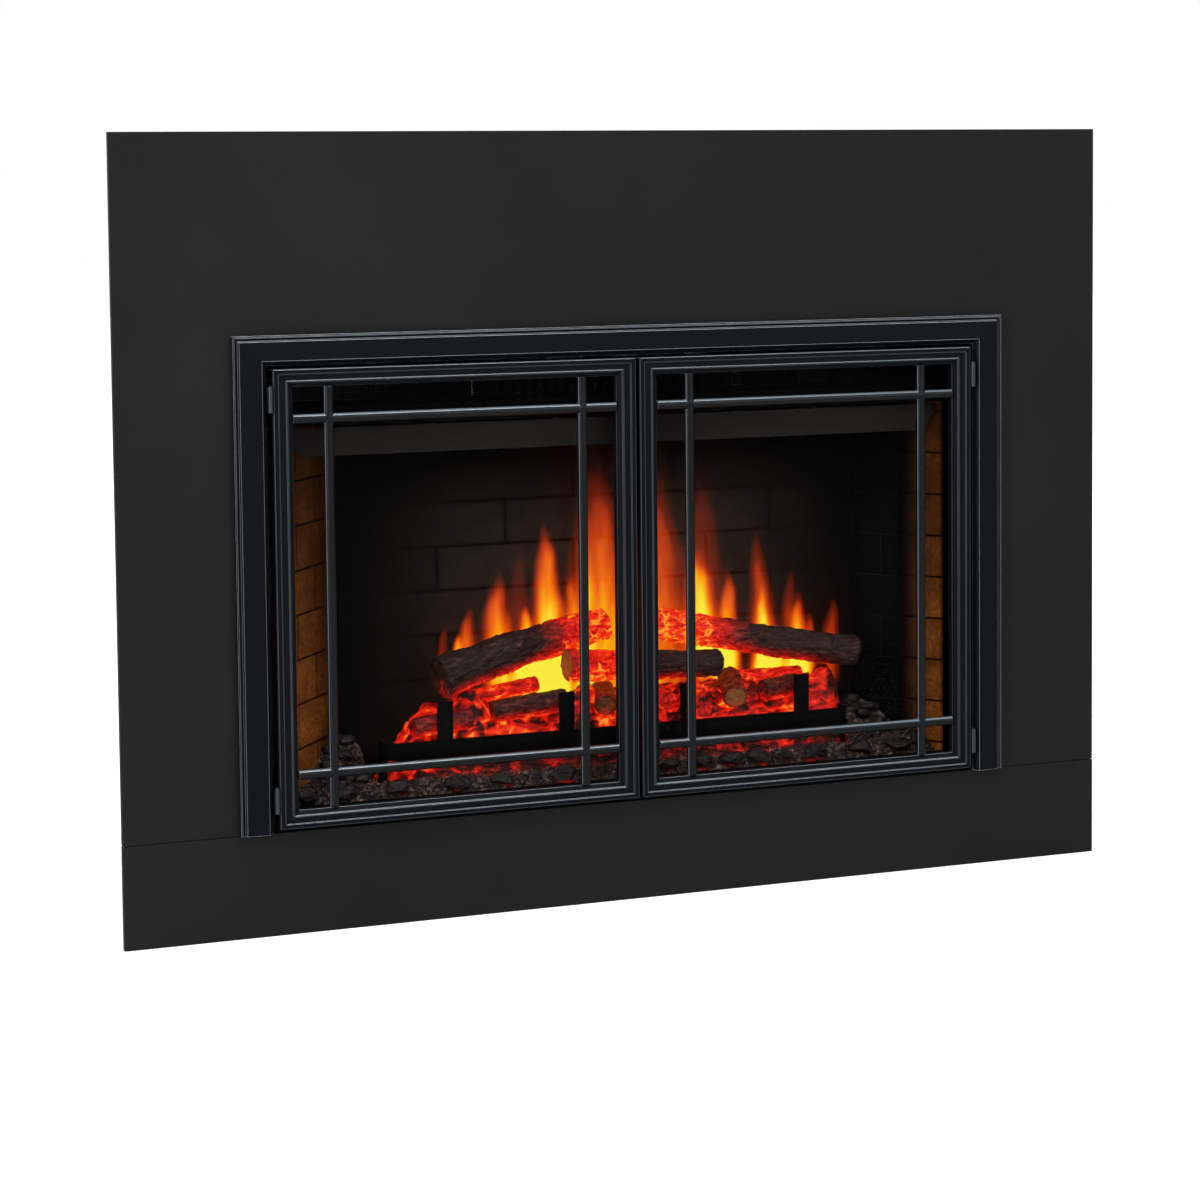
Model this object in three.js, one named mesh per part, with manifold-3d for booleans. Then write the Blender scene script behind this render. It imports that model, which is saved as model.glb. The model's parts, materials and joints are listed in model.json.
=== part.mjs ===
// Electric fireplace insert: steel surround, mitred trim, a pair of grille doors on lift-off hinges,
// fixed front glass, log set on an ember bed, flame screen, flicker rod and fan heater in a sheet
// metal chassis. Millimetres, +Z up, front towards -Y, origin on the floor below the middle.
import * as THREE from "three";
import { mergeVertices } from "three/addons/utils/BufferGeometryUtils.js";
import Module from "manifold-3d";

const wasm = await Module();
wasm.setup();

// ---- Driving sizes. X from the middle, Y from the surround's front face, Z from the floor ----
const sheet = 1.5; // steel sheet of the surround and chassis
const fit = 0.3; // gap between pieces that touch
const running = 0.5; // gap round what turns

const surroundWidth = 1098;
const surroundHeight = 810;
const surroundReturn = 8; // folded edge, front to back
const riserHeight = 105;
const seamGap = 0.8;
const surroundLap = 18; // the trim covers this much of the surround's edge
const seamLap = 12; // strips on the riser reach this far behind the upper panel
const seamLapInset = 4; // strip's inner end, in from the trim's outer edge

const trimWidth = 861;
const trimTop = 607.5;
const trimFaceSide = 29; // outer edge to bright inner arris
const trimFaceTop = 25.5;
const trimLip = 1.4;
const trimGroove = 6.2;
const trimLipDepth = 6.5;
const trimGrooveDepth = 4.6;
const trimFaceDepth = 9;
const trimBevel = 5; // width of the sloped inner edge
const trimBevelDepth = 6.5;
const trimWeb = 1.4;
const trimWebReach = 11.5; // the web runs back past the surround

const doorSideGap = 5.7; // to the trim's inner web
const doorTopGap = 3.5;
const doorFootGap = 4.5; // above the riser
const doorMiddleGap = 4;
const doorThickness = 14;
const doorBack = 4.5; // Y of the doors' back faces
const stileWidth = 20.7;
const railWidth = 18;
const barWidth = 10;
const barBase = 2; // straight part behind the half round
const barCrest = 12.5; // height of the bars' crest above the door's back
const barFromStile = 37.6; // stile's inner edge to a bar's middle
const upperBarDrop = 32.6; // opening's top to the upper cross bar's middle
const lowerBarRise = 35.5;

const hingeHeight = 26;
const hingeKnuckle = 2.5; // radius
const hingeBore = 1.35;
const hingePin = 1.05;
const hingePinDome = 1.2; // the pin stands this far out of the knuckle
const hingeLeaf = 1.2;
const hingeLeafDepth = 11;
const hingeInset = 17; // door's end to the hinge's nearer end
const lowerKnuckleShare = 3; // the frame's knuckle is the lowest of three parts

const catchHalf = 22; // one catch holds both doors
const catchHeight = 10;
const catchInset = 2;
const magnetGap = 0.4;

const chassisInset = 25; // trim's outer edge to the chassis side
const chassisBottom = 72;
const chassisTop = 640;
const chassisBack = 226; // Y of the rear cover's outer face
const chassisFlange = 20;
const sillTop = 124;
const sillFront = 13.5;

const glassThickness = 4;
const glassFront = 17;
const glassBottom = 115.6;
const glassTop = 531.5;
const glassSideGap = 4; // to the chassis side
const channelWall = 1.2;
const channelBottomHeight = 11;
const channelTopHeight = 8.5;
const channelSideWidth = 10;

const floorTop = 113.5; // firebox floor sheet
const ceilingBottom = 514.3;
const headerTop = 533; // upturned front edge of the ceiling
const meshTop = 604;
const meshThickness = 1;
const meshSlots = 26;
const meshRows = 3;
const meshSlotHeight = 12;
const meshSlotWeb = 7;

const brickFrontInset = 33; // chassis side to the panel's front edge
const brickFrontY = 24.5;
const brickTaper = 66; // the panels close in by this much towards the back
const brickBackY = 106;
const brickThickness = 6;
const brickCourse = 46;
const mortarWidth = 3;
const mortarDepth = 1.2;
const firstMortar = 132; // Z of the lowest mortar line

const valanceTop = 510.5;
const valanceBottom = 481.5;
const valanceY = 27;
const valanceSideGap = 4;
const valanceSlant = 15;
const valanceEndDrop = 9;
const valanceTabs = [-0.578, -0.212, 0.202, 0.597]; // share of the valance's half width
const valanceTabWidth = 6;

const screenThickness = 3;
const screenY = 108;
const screenTop = 505;
const postWidth = 8;
const postDepth = 10;

const ashFrontZ = 123;
const ashStep = 20; // rise from the glass to the foot of the ember bed
const ashStepReach = 18;
const ashCornerRise = 34;
const emberInset = 27; // flame screen's end to the ember bed's end
const emberFrontY = 44;
const emberFrontZ = 150;
const emberTopZ = 208;
const emberEndZ = 134;
const emberEndRun = 52;
const emberShell = 5;

const grateInset = 12; // ember bed's end to the grate's end
const grateY = 34;
const grateBottom = 160.5;
const grateTop = 178.8;
const grateThickness = 5;
const grateCorner = 16;
const grateArm = 26;
const upright = { width: 16, top: 219, at: [-0.756, -0.248, 0.274, 0.778] }; // share of half width

const flickerY = 160;
const flickerZ = 152;
const flickerInset = 55; // flame screen's end to the rod's end
const flickerRadius = 3;
const paddleCount = 14;
const paddleReach = 14;
const gearMotorRadius = 20;
const gearMotorLength = 18;
const flickerEnd = 15; // bare rod at each end
const motorStandInset = 4;
const bearingStandInset = 8;
const standRise = 4;
const standFoot = 14;
const bearingWall = 4;
const lampCount = 12;
const lampSize = 5;
const lampProud = 1.5;
const lampZ = 142.5;
const stripInset = 14;
const stripY = 194;
const stripThickness = 2;
const stripFoot = 12;
const stripTop = 156;
const emberBoardInset = 40;
const emberBoardRows = [62, 82];
const emberBoardThickness = 1.6;
const emberLampRise = 1.6;

const ductHalf = 170;
const ductFront = 30;
const ductBack = 205;
const ductTop = 632;
const wheelRadius = 32;
const wheelHalf = 125;
const wheelY = 130;
const wheelZ = 574;
const wheelBlades = 16;
const shaftRadius = 2.5;
const heaterY = 46;
const heaterDepth = 14;
const ductWall = 1.2;
const ductIntakes = [-100, -50, 0, 50, 100];
const intakeHalf = 18;
const intakeBottom = 545;
const intakeTop = 610;
const wheelDisc = 1.5;
const bladeWidth = 8.4;
const bladeThickness = 1;
const shaftSpare = 12;
const finCount = 20;
const finEdge = 8;
const finTop = 572;
const elementEnd = 8;
const elementEndTop = 580;
const heaterTubes = [532, 546, 560];
const tubeThickness = 3;
const tubeInset = 4;
const blowerMotorRadius = 24;
const motorSeatHalf = 30;
const motorSeatGap = 10;
const boardWidth = 120;
const boardDepth = 90;
const boardFromDuct = 42;
const boardFront = 60;
const boardZ = 525;
const boardThickness = 1.6;
const boardPost = 3;
const boardPostInset = 6;
// Parts on the board: left, front, width, depth, height.
const boardBlocks = [
  [10, 16, 38, 32, 30],
  [60, 18, 20, 15, 17],
  [86, 18, 20, 15, 17],
  [16, 72, 88, 10, 12],
];
const boardCans = [70, 90];
const boardCanRadius = 6;
const boardCanY = 58;
const boardCanHeight = 22;

const ventHalf = 42;
const ventHeight = 5;
const ventPitch = 12;
const ventRows = 6;
const ventSpread = 100;
const ventMiddleZ = 562.5;

const skidInset = 55.5; // chassis side to the skid's middle
const skidWidth = 40;
const skidWall = 2;
const skidFlange = 12;

const rockerInset = 75.5; // chassis side to the rocker's middle
const rockerZ = 168;
const rockerWidth = 12;
const rockerHeight = 21;
const rockerTilt = 7; // degrees each side of level
const bezelBorder = 3;
const bezelProud = 2;
const glandInset = 33.5;
const glandZ = 130;
const glandRadius = 8;
const glandLength = 12;

// ---- Worked out from the driving sizes ----
const trimHalf = trimWidth / 2;
const trimInnerX = trimHalf - trimFaceSide - trimBevel;
const doorOuterX = trimInnerX - doorSideGap;
const doorWidth = doorOuterX - doorMiddleGap / 2;
const doorBottom = riserHeight + doorFootGap;
const doorHeight = trimTop - trimFaceTop - trimBevel - doorTopGap - doorBottom;
const doorFront = doorBack - doorThickness;
const chassisHalfWidth = trimHalf - chassisInset;
const hingeX = (trimInnerX + doorOuterX) / 2;
const chassisInner = chassisHalfWidth - sheet;
const brickFrontX = chassisInner - brickFrontInset;
const brickBackX = brickFrontX - brickTaper;
const valanceHalfTop = brickFrontX - valanceSideGap;
const valanceHalfBottom = valanceHalfTop - valanceSlant;
const emberHalf = brickBackX - emberInset;
const grateHalf = emberHalf - grateInset;
const flickerHalf = brickBackX - flickerInset;
const skidX = chassisHalfWidth - skidInset;
const rockerX = chassisHalfWidth - rockerInset;
const glandX = chassisHalfWidth - glandInset;
const glassBack = glassFront + glassThickness;
const ceilingTop = ceilingBottom + sheet;
const upperBarZ = doorHeight - railWidth - upperBarDrop;
const lowerBarZ = railWidth + lowerBarRise;
const frontMost = doorFront - hingeKnuckle;
const rearMost = chassisBack + glandLength;

// ---- Materials ----
const finish = (color, roughness, metalness, more = {}) =>
  new THREE.MeshStandardMaterial({ color, roughness, metalness, ...more });
const satinBlack = () => finish(0x242424, 0.62, 0.2);
const doorBlack = () => finish(0x1a1e22, 0.45, 0.5);
const chassisBlack = () => finish(0x191919, 0.7, 0.3);
const zinc = () => finish(0x9fa3a5, 0.4, 0.9);
const steel = () => finish(0x8d9094, 0.35, 0.95);
const bark = () => finish(0x3a2a20, 0.9, 0);
const ember = () => finish(0xd23a12, 0.8, 0, { emissive: 0x7a1400 });
const boardGreen = () => finish(0x1f5a36, 0.6, 0.1);
const blackPlastic = () => finish(0x141414, 0.5, 0);

// ---- Solids ----
function solidOf(geometry) {
  const bare = geometry.clone();
  bare.deleteAttribute("normal");
  bare.deleteAttribute("uv");
  const merged = mergeVertices(bare, 1e-4);
  const made = new wasm.Manifold(
    new wasm.Mesh({
      numProp: 3,
      vertProperties: new Float32Array(merged.attributes.position.array),
      triVerts: new Uint32Array(merged.index.array),
    }),
  );
  if (made.status() !== "NoError") throw new Error(`not a closed body: ${made.status()}`);
  return made;
}

function geometryOf(solid) {
  const { vertProperties, triVerts, numProp } = solid.getMesh();
  const geometry = new THREE.BufferGeometry();
  const points = [];
  for (let i = 0; i < vertProperties.length; i += numProp)
    points.push(vertProperties[i], vertProperties[i + 1], vertProperties[i + 2]);
  geometry.setAttribute("position", new THREE.Float32BufferAttribute(points, 3));
  geometry.setIndex(Array.from(triVerts));
  geometry.computeVertexNormals();
  return geometry;
}

const joined = (first, ...rest) =>
  geometryOf(rest.reduce((sum, piece) => sum.add(solidOf(piece)), solidOf(first)));
const cut = (first, ...tools) =>
  geometryOf(tools.reduce((rest, tool) => rest.subtract(solidOf(tool)), solidOf(first)));

// The largest of the bodies that cutting left behind.
function largest(geometry) {
  const bodies = solidOf(geometry).decompose();
  return geometryOf(bodies.reduce((best, body) => (body.volume() > best.volume() ? body : best)));
}

// A box from its two corners.
const box = (x0, x1, y0, y1, z0, z1) =>
  new THREE.BoxGeometry(x1 - x0, y1 - y0, z1 - z0).translate(
    (x0 + x1) / 2,
    (y0 + y1) / 2,
    (z0 + z1) / 2,
  );

// A cylinder along an axis, from one end to the other, with the middle of its section at a, b.
function rod(axis, radius, from, to, a, b, sides = 16) {
  const geometry = new THREE.CylinderGeometry(radius, radius, to - from, sides);
  const middle = (from + to) / 2;
  if (axis === "x") return geometry.rotateZ(-Math.PI / 2).translate(middle, a, b);
  if (axis === "y") return geometry.translate(a, middle, b);
  return geometry.rotateX(Math.PI / 2).translate(a, b, middle);
}

// A closed shape in one plane, pushed out from one depth to another along Y.
function plate(points, y0, y1) {
  const shape = new THREE.Shape(points.map(([x, z]) => new THREE.Vector2(x, z)));
  return new THREE.ExtrudeGeometry(shape, { depth: y1 - y0, bevelEnabled: false })
    .rotateX(Math.PI / 2)
    .translate(0, y1, 0);
}

// Joins rings of equal length into a closed body. Flat triangles close both ends.
function closedFromRings(rings, capTriangles) {
  const count = rings[0].length;
  const points = rings.flat();
  const faces = [];
  for (let r = 0; r + 1 < rings.length; r++)
    for (let i = 0; i < count; i++) {
      const a = r * count + i;
      const b = r * count + ((i + 1) % count);
      faces.push([a, b, b + count], [a, b + count, a + count]);
    }
  const last = (rings.length - 1) * count;
  for (const [a, b, c] of capTriangles) faces.push([a, c, b], [last + a, last + b, last + c]);
  let volume = 0;
  const p = new THREE.Vector3();
  const q = new THREE.Vector3();
  const s = new THREE.Vector3();
  for (const [a, b, c] of faces) {
    p.fromArray(points[a]);
    q.fromArray(points[b]);
    s.fromArray(points[c]);
    volume += p.dot(q.cross(s));
  }
  const turned = volume < 0 ? faces.map(([a, b, c]) => [a, c, b]) : faces;
  const geometry = new THREE.BufferGeometry();
  geometry.setAttribute("position", new THREE.Float32BufferAttribute(points.flat(), 3));
  geometry.setIndex(turned.flat());
  geometry.computeVertexNormals();
  return geometry;
}

// Flat triangles that close an outline, turned to follow the outline's own order.
function capOf(outline) {
  const triangles = THREE.ShapeUtils.triangulateShape(
    outline.map(([a, b]) => new THREE.Vector2(a, b)),
    [],
  );
  const follows = ([a, b, c]) =>
    [
      [a, b],
      [b, c],
      [c, a],
    ].some(([p, q]) => q === (p + 1) % outline.length);
  return triangles.some(follows) ? triangles : triangles.map(([a, b, c]) => [a, c, b]);
}

// A member of a mitred frame. Each corner of its section has its own start and end.
function mitredMember(section, startOf, endOf, place) {
  const caps = capOf(section);
  const ring = (along) => section.map((corner) => place(corner, along(corner)));
  return closedFromRings([ring(startOf), ring(endOf)], caps);
}

// Repeatable scatter between -1 and 1.
function scatter(...seeds) {
  const sum = seeds.reduce((total, seed, i) => total + seed * (12.9898 + 65.313 * i), 4.37);
  const wild = Math.sin(sum) * 43758.5453;
  return 2 * (wild - Math.floor(wild)) - 1;
}

const smooth = (from, to, value) => THREE.MathUtils.smoothstep(value, from, to);

// ---- The object ----
const insert = new THREE.Group();
const assembly = new THREE.Group();
assembly.position.y = -(frontMost + rearMost) / 2; // middle of the depth at the origin
insert.add(assembly);

function add(name, geometry, material, parent = assembly) {
  const mesh = new THREE.Mesh(geometry, material);
  mesh.name = name;
  parent.add(mesh);
  return mesh;
}

// Surround: an inverted U and a riser, each a folded pan with its edges turned back.
function surround() {
  const half = surroundWidth / 2;
  const openHalf = trimHalf - surroundLap;
  const openTop = trimTop - surroundLap;
  const bottom = riserHeight + seamGap / 2;
  const back = surroundReturn + 1;
  const upper = cut(
    box(-half, half, 0, surroundReturn, bottom, surroundHeight),
    box(-openHalf, openHalf, -1, back, bottom - 1, openTop),
    box(-half + sheet, half - sheet, sheet, back, bottom - 1, surroundHeight - sheet),
  );
  add("surround_upper_panel", upper, satinBlack());
  const riserTop = riserHeight - seamGap / 2;
  const riser = cut(
    box(-half, half, 0, surroundReturn, 0, riserTop),
    box(-half + sheet, half - sheet, sheet, back, sheet, riserTop + 1),
  );
  const strips = [-1, 1].flatMap((way) => {
    const inner = trimHalf - seamLapInset;
    const outer = half - sheet - fit;
    const [x0, x1] = way < 0 ? [-outer, -inner] : [inner, outer];
    const back = 2 * sheet + fit;
    return [
      box(x0, x1, sheet - 0.5, back, riserTop - seamLap, riserTop - 1),
      box(x0, x1, sheet + fit, back, riserTop - seamLap, riserTop + seamLap),
    ];
  });
  add("surround_riser_panel", joined(riser, ...strips), satinBlack());
}

// Trim: an extruded section with a lip, a groove, a face, a sloped inner edge and a web behind it.
function trim() {
  const inner = trimFaceSide + trimBevel;
  const section = [
    [0, fit],
    [0, trimLipDepth],
    [trimLip, trimLipDepth],
    [trimLip + 0.8, trimGrooveDepth],
    [trimGroove - 1, trimGrooveDepth],
    [trimGroove, trimFaceDepth - 0.8],
    [trimFaceSide, trimFaceDepth],
    [inner, trimFaceDepth - trimBevelDepth],
    [inner, -trimWebReach],
    [inner - trimWeb, -trimWebReach],
    [inner - trimWeb, fit],
  ];
  const onTop = (across) =>
    across <= trimGroove ? across : across - (trimFaceSide - trimFaceTop);
  const mitre = fit / 2;
  const side = mitredMember(
    section,
    () => riserHeight + seamGap / 2,
    ([across]) => trimTop - onTop(across) - mitre,
    ([across, depth], along) => [-trimHalf + across, -depth, along],
  );
  add("trim_left_rail", side, doorBlack());
  const right = new THREE.Group();
  right.scale.x = -1;
  assembly.add(right);
  add("trim_right_rail", side.clone(), doorBlack(), right);
  const top = mitredMember(
    section,
    ([across]) => -trimHalf + across + mitre,
    ([across]) => trimHalf - across - mitre,
    ([across, depth], along) => [along, -depth, trimTop - onTop(across)],
  );
  add("trim_top_rail", top, doorBlack());
}

// A half-round bar with its base behind it, along X from 0.
function halfRoundBar(length) {
  const radius = barWidth / 2;
  const shape = new THREE.Shape();
  shape.moveTo(radius, -barBase);
  shape.lineTo(radius, 0);
  shape.absarc(0, 0, radius, 0, Math.PI);
  shape.lineTo(-radius, -barBase);
  return new THREE.ExtrudeGeometry(shape, {
    depth: length - 2 * fit,
    bevelEnabled: false,
    curveSegments: 8,
  })
    .translate(0, 0, fit)
    .rotateZ(Math.PI)
    .rotateY(Math.PI / 2);
}

// One door, hinge edge at x 0, back face at y 0, bottom at z 0.
function door(side, parent) {
  const section = [
    [0, 0],
    [0, doorThickness - 0.8],
    [0.8, doorThickness],
    [5.4, doorThickness],
    [6.2, doorThickness - 1.2],
    [13.2, doorThickness - 1.2],
    [13.8, doorThickness - 0.2],
    [14.8, doorThickness - 0.2],
    [15.4, doorThickness - 1.5],
    [stileWidth, doorThickness - 5],
    [stileWidth, 0],
  ];
  const onRail = (across) => (across * railWidth) / stileWidth;
  const mitre = fit / 2;
  const stile = mitredMember(
    section,
    ([across]) => onRail(across) + mitre,
    ([across]) => doorHeight - onRail(across) - mitre,
    ([across, depth], along) => [across, -depth, along],
  );
  add(`${side}_door_hinge_stile`, stile, doorBlack(), parent);
  const meeting = mitredMember(
    section,
    ([across]) => onRail(across) + mitre,
    ([across]) => doorHeight - onRail(across) - mitre,
    ([across, depth], along) => [doorWidth - across, -depth, along],
  );
  add(`${side}_door_meeting_stile`, meeting, doorBlack(), parent);
  const rail = (flip) =>
    mitredMember(
      section,
      ([across]) => across + mitre,
      ([across]) => doorWidth - across - mitre,
      ([across, depth], along) => [
        along,
        -depth,
        flip ? doorHeight - onRail(across) : onRail(across),
      ],
    );
  add(`${side}_door_top_rail`, rail(true), doorBlack(), parent);
  add(`${side}_door_bottom_rail`, rail(false), doorBlack(), parent);
  add(`${side}_door_grille`, grille(), doorBlack(), parent);
}

// Two upright and two cross bars, welded where they cross.
function grille() {
  const openWidth = doorWidth - 2 * stileWidth;
  const openHeight = doorHeight - 2 * railWidth;
  const depth = -(barCrest - barWidth / 2);
  const uprights = [stileWidth + barFromStile, doorWidth - stileWidth - barFromStile].map((x) =>
    halfRoundBar(openHeight).rotateY(-Math.PI / 2).translate(x, depth, railWidth),
  );
  const across = [lowerBarZ, upperBarZ].map((z) =>
    halfRoundBar(openWidth).translate(stileWidth, depth, z),
  );
  return joined(...uprights, ...across);
}

// Lower ends of the two hinges, measured from the floor.
const hingeFeet = {
  lower: doorBottom + hingeInset,
  upper: doorBottom + doorHeight - hingeInset - hingeHeight,
};

// Leaf of a lift-off hinge on one side of the axis, with its knuckle from low to high.
function hingeLeafOf(core, low, high, side, foot) {
  const outer = side * (hingeKnuckle + 0.05);
  const inner = side * (outer * side - hingeLeaf);
  const [x0, x1] = [Math.min(outer, inner), Math.max(outer, inner)];
  const leafFront = hingeKnuckle + running;
  const neck = box(x0, x1, 0, leafFront + 1, low, high);
  const leaf = box(x0, x1, leafFront, leafFront + hingeLeafDepth, foot, foot + hingeHeight);
  return joined(core, neck, leaf);
}

// The frame's leaf carries the pin, and the door's leaf drops over it.
function hinge(name, foot, parent) {
  const split = foot + hingeHeight / lowerKnuckleShare;
  const top = foot + hingeHeight;
  const pin = rod("z", hingePin, split - 1, top + hingePinDome, 0, 0, 12);
  const solid = joined(rod("z", hingeKnuckle, foot, split, 0, 0), pin);
  add(`${name}_hinge_frame_leaf`, hingeLeafOf(solid, foot, split, -1, foot), steel(), parent);
  const low = split + fit;
  const tube = rod("z", hingeKnuckle, low, top, 0, 0);
  const leaf = hingeLeafOf(tube, low, top, 1, foot);
  const bore = rod("z", hingeBore, foot - 1, top + 1, 0, 0, 12);
  add(`${name}_hinge_door_leaf`, cut(leaf, bore), steel(), parent);
}

function doors() {
  for (const [side, way] of [
    ["left", 1],
    ["right", -1],
  ]) {
    const half = new THREE.Group();
    half.scale.x = way;
    assembly.add(half);
    const frame = new THREE.Group();
    frame.position.set(-doorOuterX, doorBack, doorBottom);
    half.add(frame);
    door(side, frame);
    const axis = new THREE.Group();
    axis.position.set(-hingeX, doorFront, 0);
    half.add(axis);
    for (const [place, foot] of Object.entries(hingeFeet)) hinge(`${side}_${place}`, foot, axis);
  }
  const low = doorBottom + catchInset;
  const magnets = box(
    -catchHalf,
    catchHalf,
    doorBack + magnetGap,
    sillFront - fit,
    low,
    low + catchHeight,
  );
  add("door_magnet_catch", magnets, blackPlastic());
}

// Front glass in a channelled frame.
function glass() {
  const half = chassisInner - glassSideGap;
  add(
    "front_glass",
    box(-half, half, glassFront, glassBack, glassBottom, glassTop),
    finish(0x101314, 0.05, 0, { transparent: true, opacity: 0.12 }),
  );
  const reach = chassisInner - fit;
  const y0 = glassFront - fit - channelWall;
  const y1 = glassBack + fit + channelWall;
  const low = glassBottom - fit - channelWall;
  const high = glassTop + fit + channelWall;
  const inner = reach - channelSideWidth;
  const frame = cut(
    box(-reach, reach, y0, y1, low, high),
    box(-inner, inner, y0 - 1, y1 + 1, low + channelBottomHeight, high - channelTopHeight),
    box(-half - fit, half + fit, glassFront - fit, glassBack + fit, glassBottom - fit, glassTop + fit),
  );
  add("glass_frame", frame, chassisBlack());
}

// Chassis: base pan, two sides, top cover and rear cover.
const frontFlangeY = sheet + fit; // just behind the surround's sheet

function chassis() {
  const half = chassisInner - fit;
  const y1 = frontFlangeY + sheet;
  const rearInner = chassisBack - sheet - fit;
  const floor = box(-half, half, frontFlangeY, rearInner, chassisBottom, chassisBottom + sheet);
  const flange = box(-half, half, frontFlangeY, y1, chassisBottom - chassisFlange, chassisBottom + 1);
  const sill = box(-half, half, sillFront, sillFront + sheet, chassisBottom, sillTop);
  add("base_pan", joined(floor, flange, sill), chassisBlack());

  const sideTop = chassisTop - sheet - fit;
  const wall = box(-chassisHalfWidth, -chassisInner, frontFlangeY, rearInner, chassisBottom, sideTop);
  const ear = box(
    -chassisHalfWidth - chassisFlange,
    -chassisInner,
    frontFlangeY,
    y1,
    riserHeight + seamGap,
    sideTop,
  );
  const side = joined(wall, ear);
  add("chassis_left_side", side, chassisBlack());
  const right = new THREE.Group();
  right.scale.x = -1;
  assembly.add(right);
  add("chassis_right_side", side.clone(), chassisBlack(), right);

  const lid = box(
    -chassisHalfWidth,
    chassisHalfWidth,
    frontFlangeY,
    chassisBack,
    chassisTop - sheet,
    chassisTop,
  );
  const lidFlange = box(
    -chassisHalfWidth,
    chassisHalfWidth,
    frontFlangeY,
    y1,
    chassisTop - 1,
    chassisTop + chassisFlange,
  );
  add("top_cover", joined(lid, lidFlange), chassisBlack());
  rearCover(sideTop);
}

function rearCover(sideTop) {
  const y0 = chassisBack - sheet;
  const vents = [];
  for (const middle of [-ventSpread, 0, ventSpread])
    for (let row = 0; row < ventRows; row++) {
      const z = ventMiddleZ + (row - (ventRows - 1) / 2) * ventPitch - ventHeight / 2;
      vents.push(
        box(middle - ventHalf, middle + ventHalf, y0 - 1, chassisBack + 1, z, z + ventHeight),
      );
    }
  const well = box(
    rockerX - rockerWidth / 2 - bezelBorder / 2,
    rockerX + rockerWidth / 2 + bezelBorder / 2,
    y0 - 1,
    chassisBack + 1,
    rockerZ - rockerHeight / 2 - bezelBorder / 2,
    rockerZ + rockerHeight / 2 + bezelBorder / 2,
  );
  const entry = rod("y", glandRadius - 1, y0 - 1, chassisBack + 1, glandX, glandZ);
  const sheetMetal = box(
    -chassisHalfWidth,
    chassisHalfWidth,
    y0,
    chassisBack,
    chassisBottom,
    sideTop,
  );
  add("rear_cover", cut(sheetMetal, well, entry, ...vents), zinc());
}

// A runner under each side of the base pan: a folded channel, open below, with a foot flange.
function skids() {
  const top = chassisBottom - fit;
  const [y0, y1] = [surroundReturn + fit, chassisBack - sheet - fit];
  for (const [name, x] of [
    ["left_skid", -skidX],
    ["right_skid", skidX],
  ]) {
    const half = skidWidth / 2;
    const shell = cut(
      box(x - half, x + half, y0, y1, 0, top),
      box(x - half + skidWall, x + half - skidWall, y0 - 1, y1 + 1, -1, top - skidWall),
    );
    const flange = (x0, x1) => box(x0, x1, y0, y1, 0, skidWall);
    const outer = half + skidFlange;
    const skid = joined(shell, flange(x - outer, x - half + 1), flange(x + half - 1, x + outer));
    add(name, skid, chassisBlack());
  }
}

// Firebox: floor, brick side panels, valance, ceiling, posts and flame screen.
function brickSide() {
  const run = Math.hypot(brickFrontX - brickBackX, brickBackY - brickFrontY);
  const low = floorTop + fit;
  const high = ceilingBottom - fit;
  const panel = box(0, run, 0, brickThickness, low, high);
  const grooves = [];
  let course = 0;
  for (let z = firstMortar; z < high - mortarWidth; z += brickCourse) {
    grooves.push(box(-1, run + 1, -1, mortarDepth, z, z + mortarWidth));
    const x = course % 2 ? run * 0.22 : run * 0.66;
    const top = Math.min(z + brickCourse, high + 1);
    grooves.push(box(x, x + mortarWidth, -1, mortarDepth, z + 1, top));
    course += 1;
  }
  return cut(panel, ...grooves);
}

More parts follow.
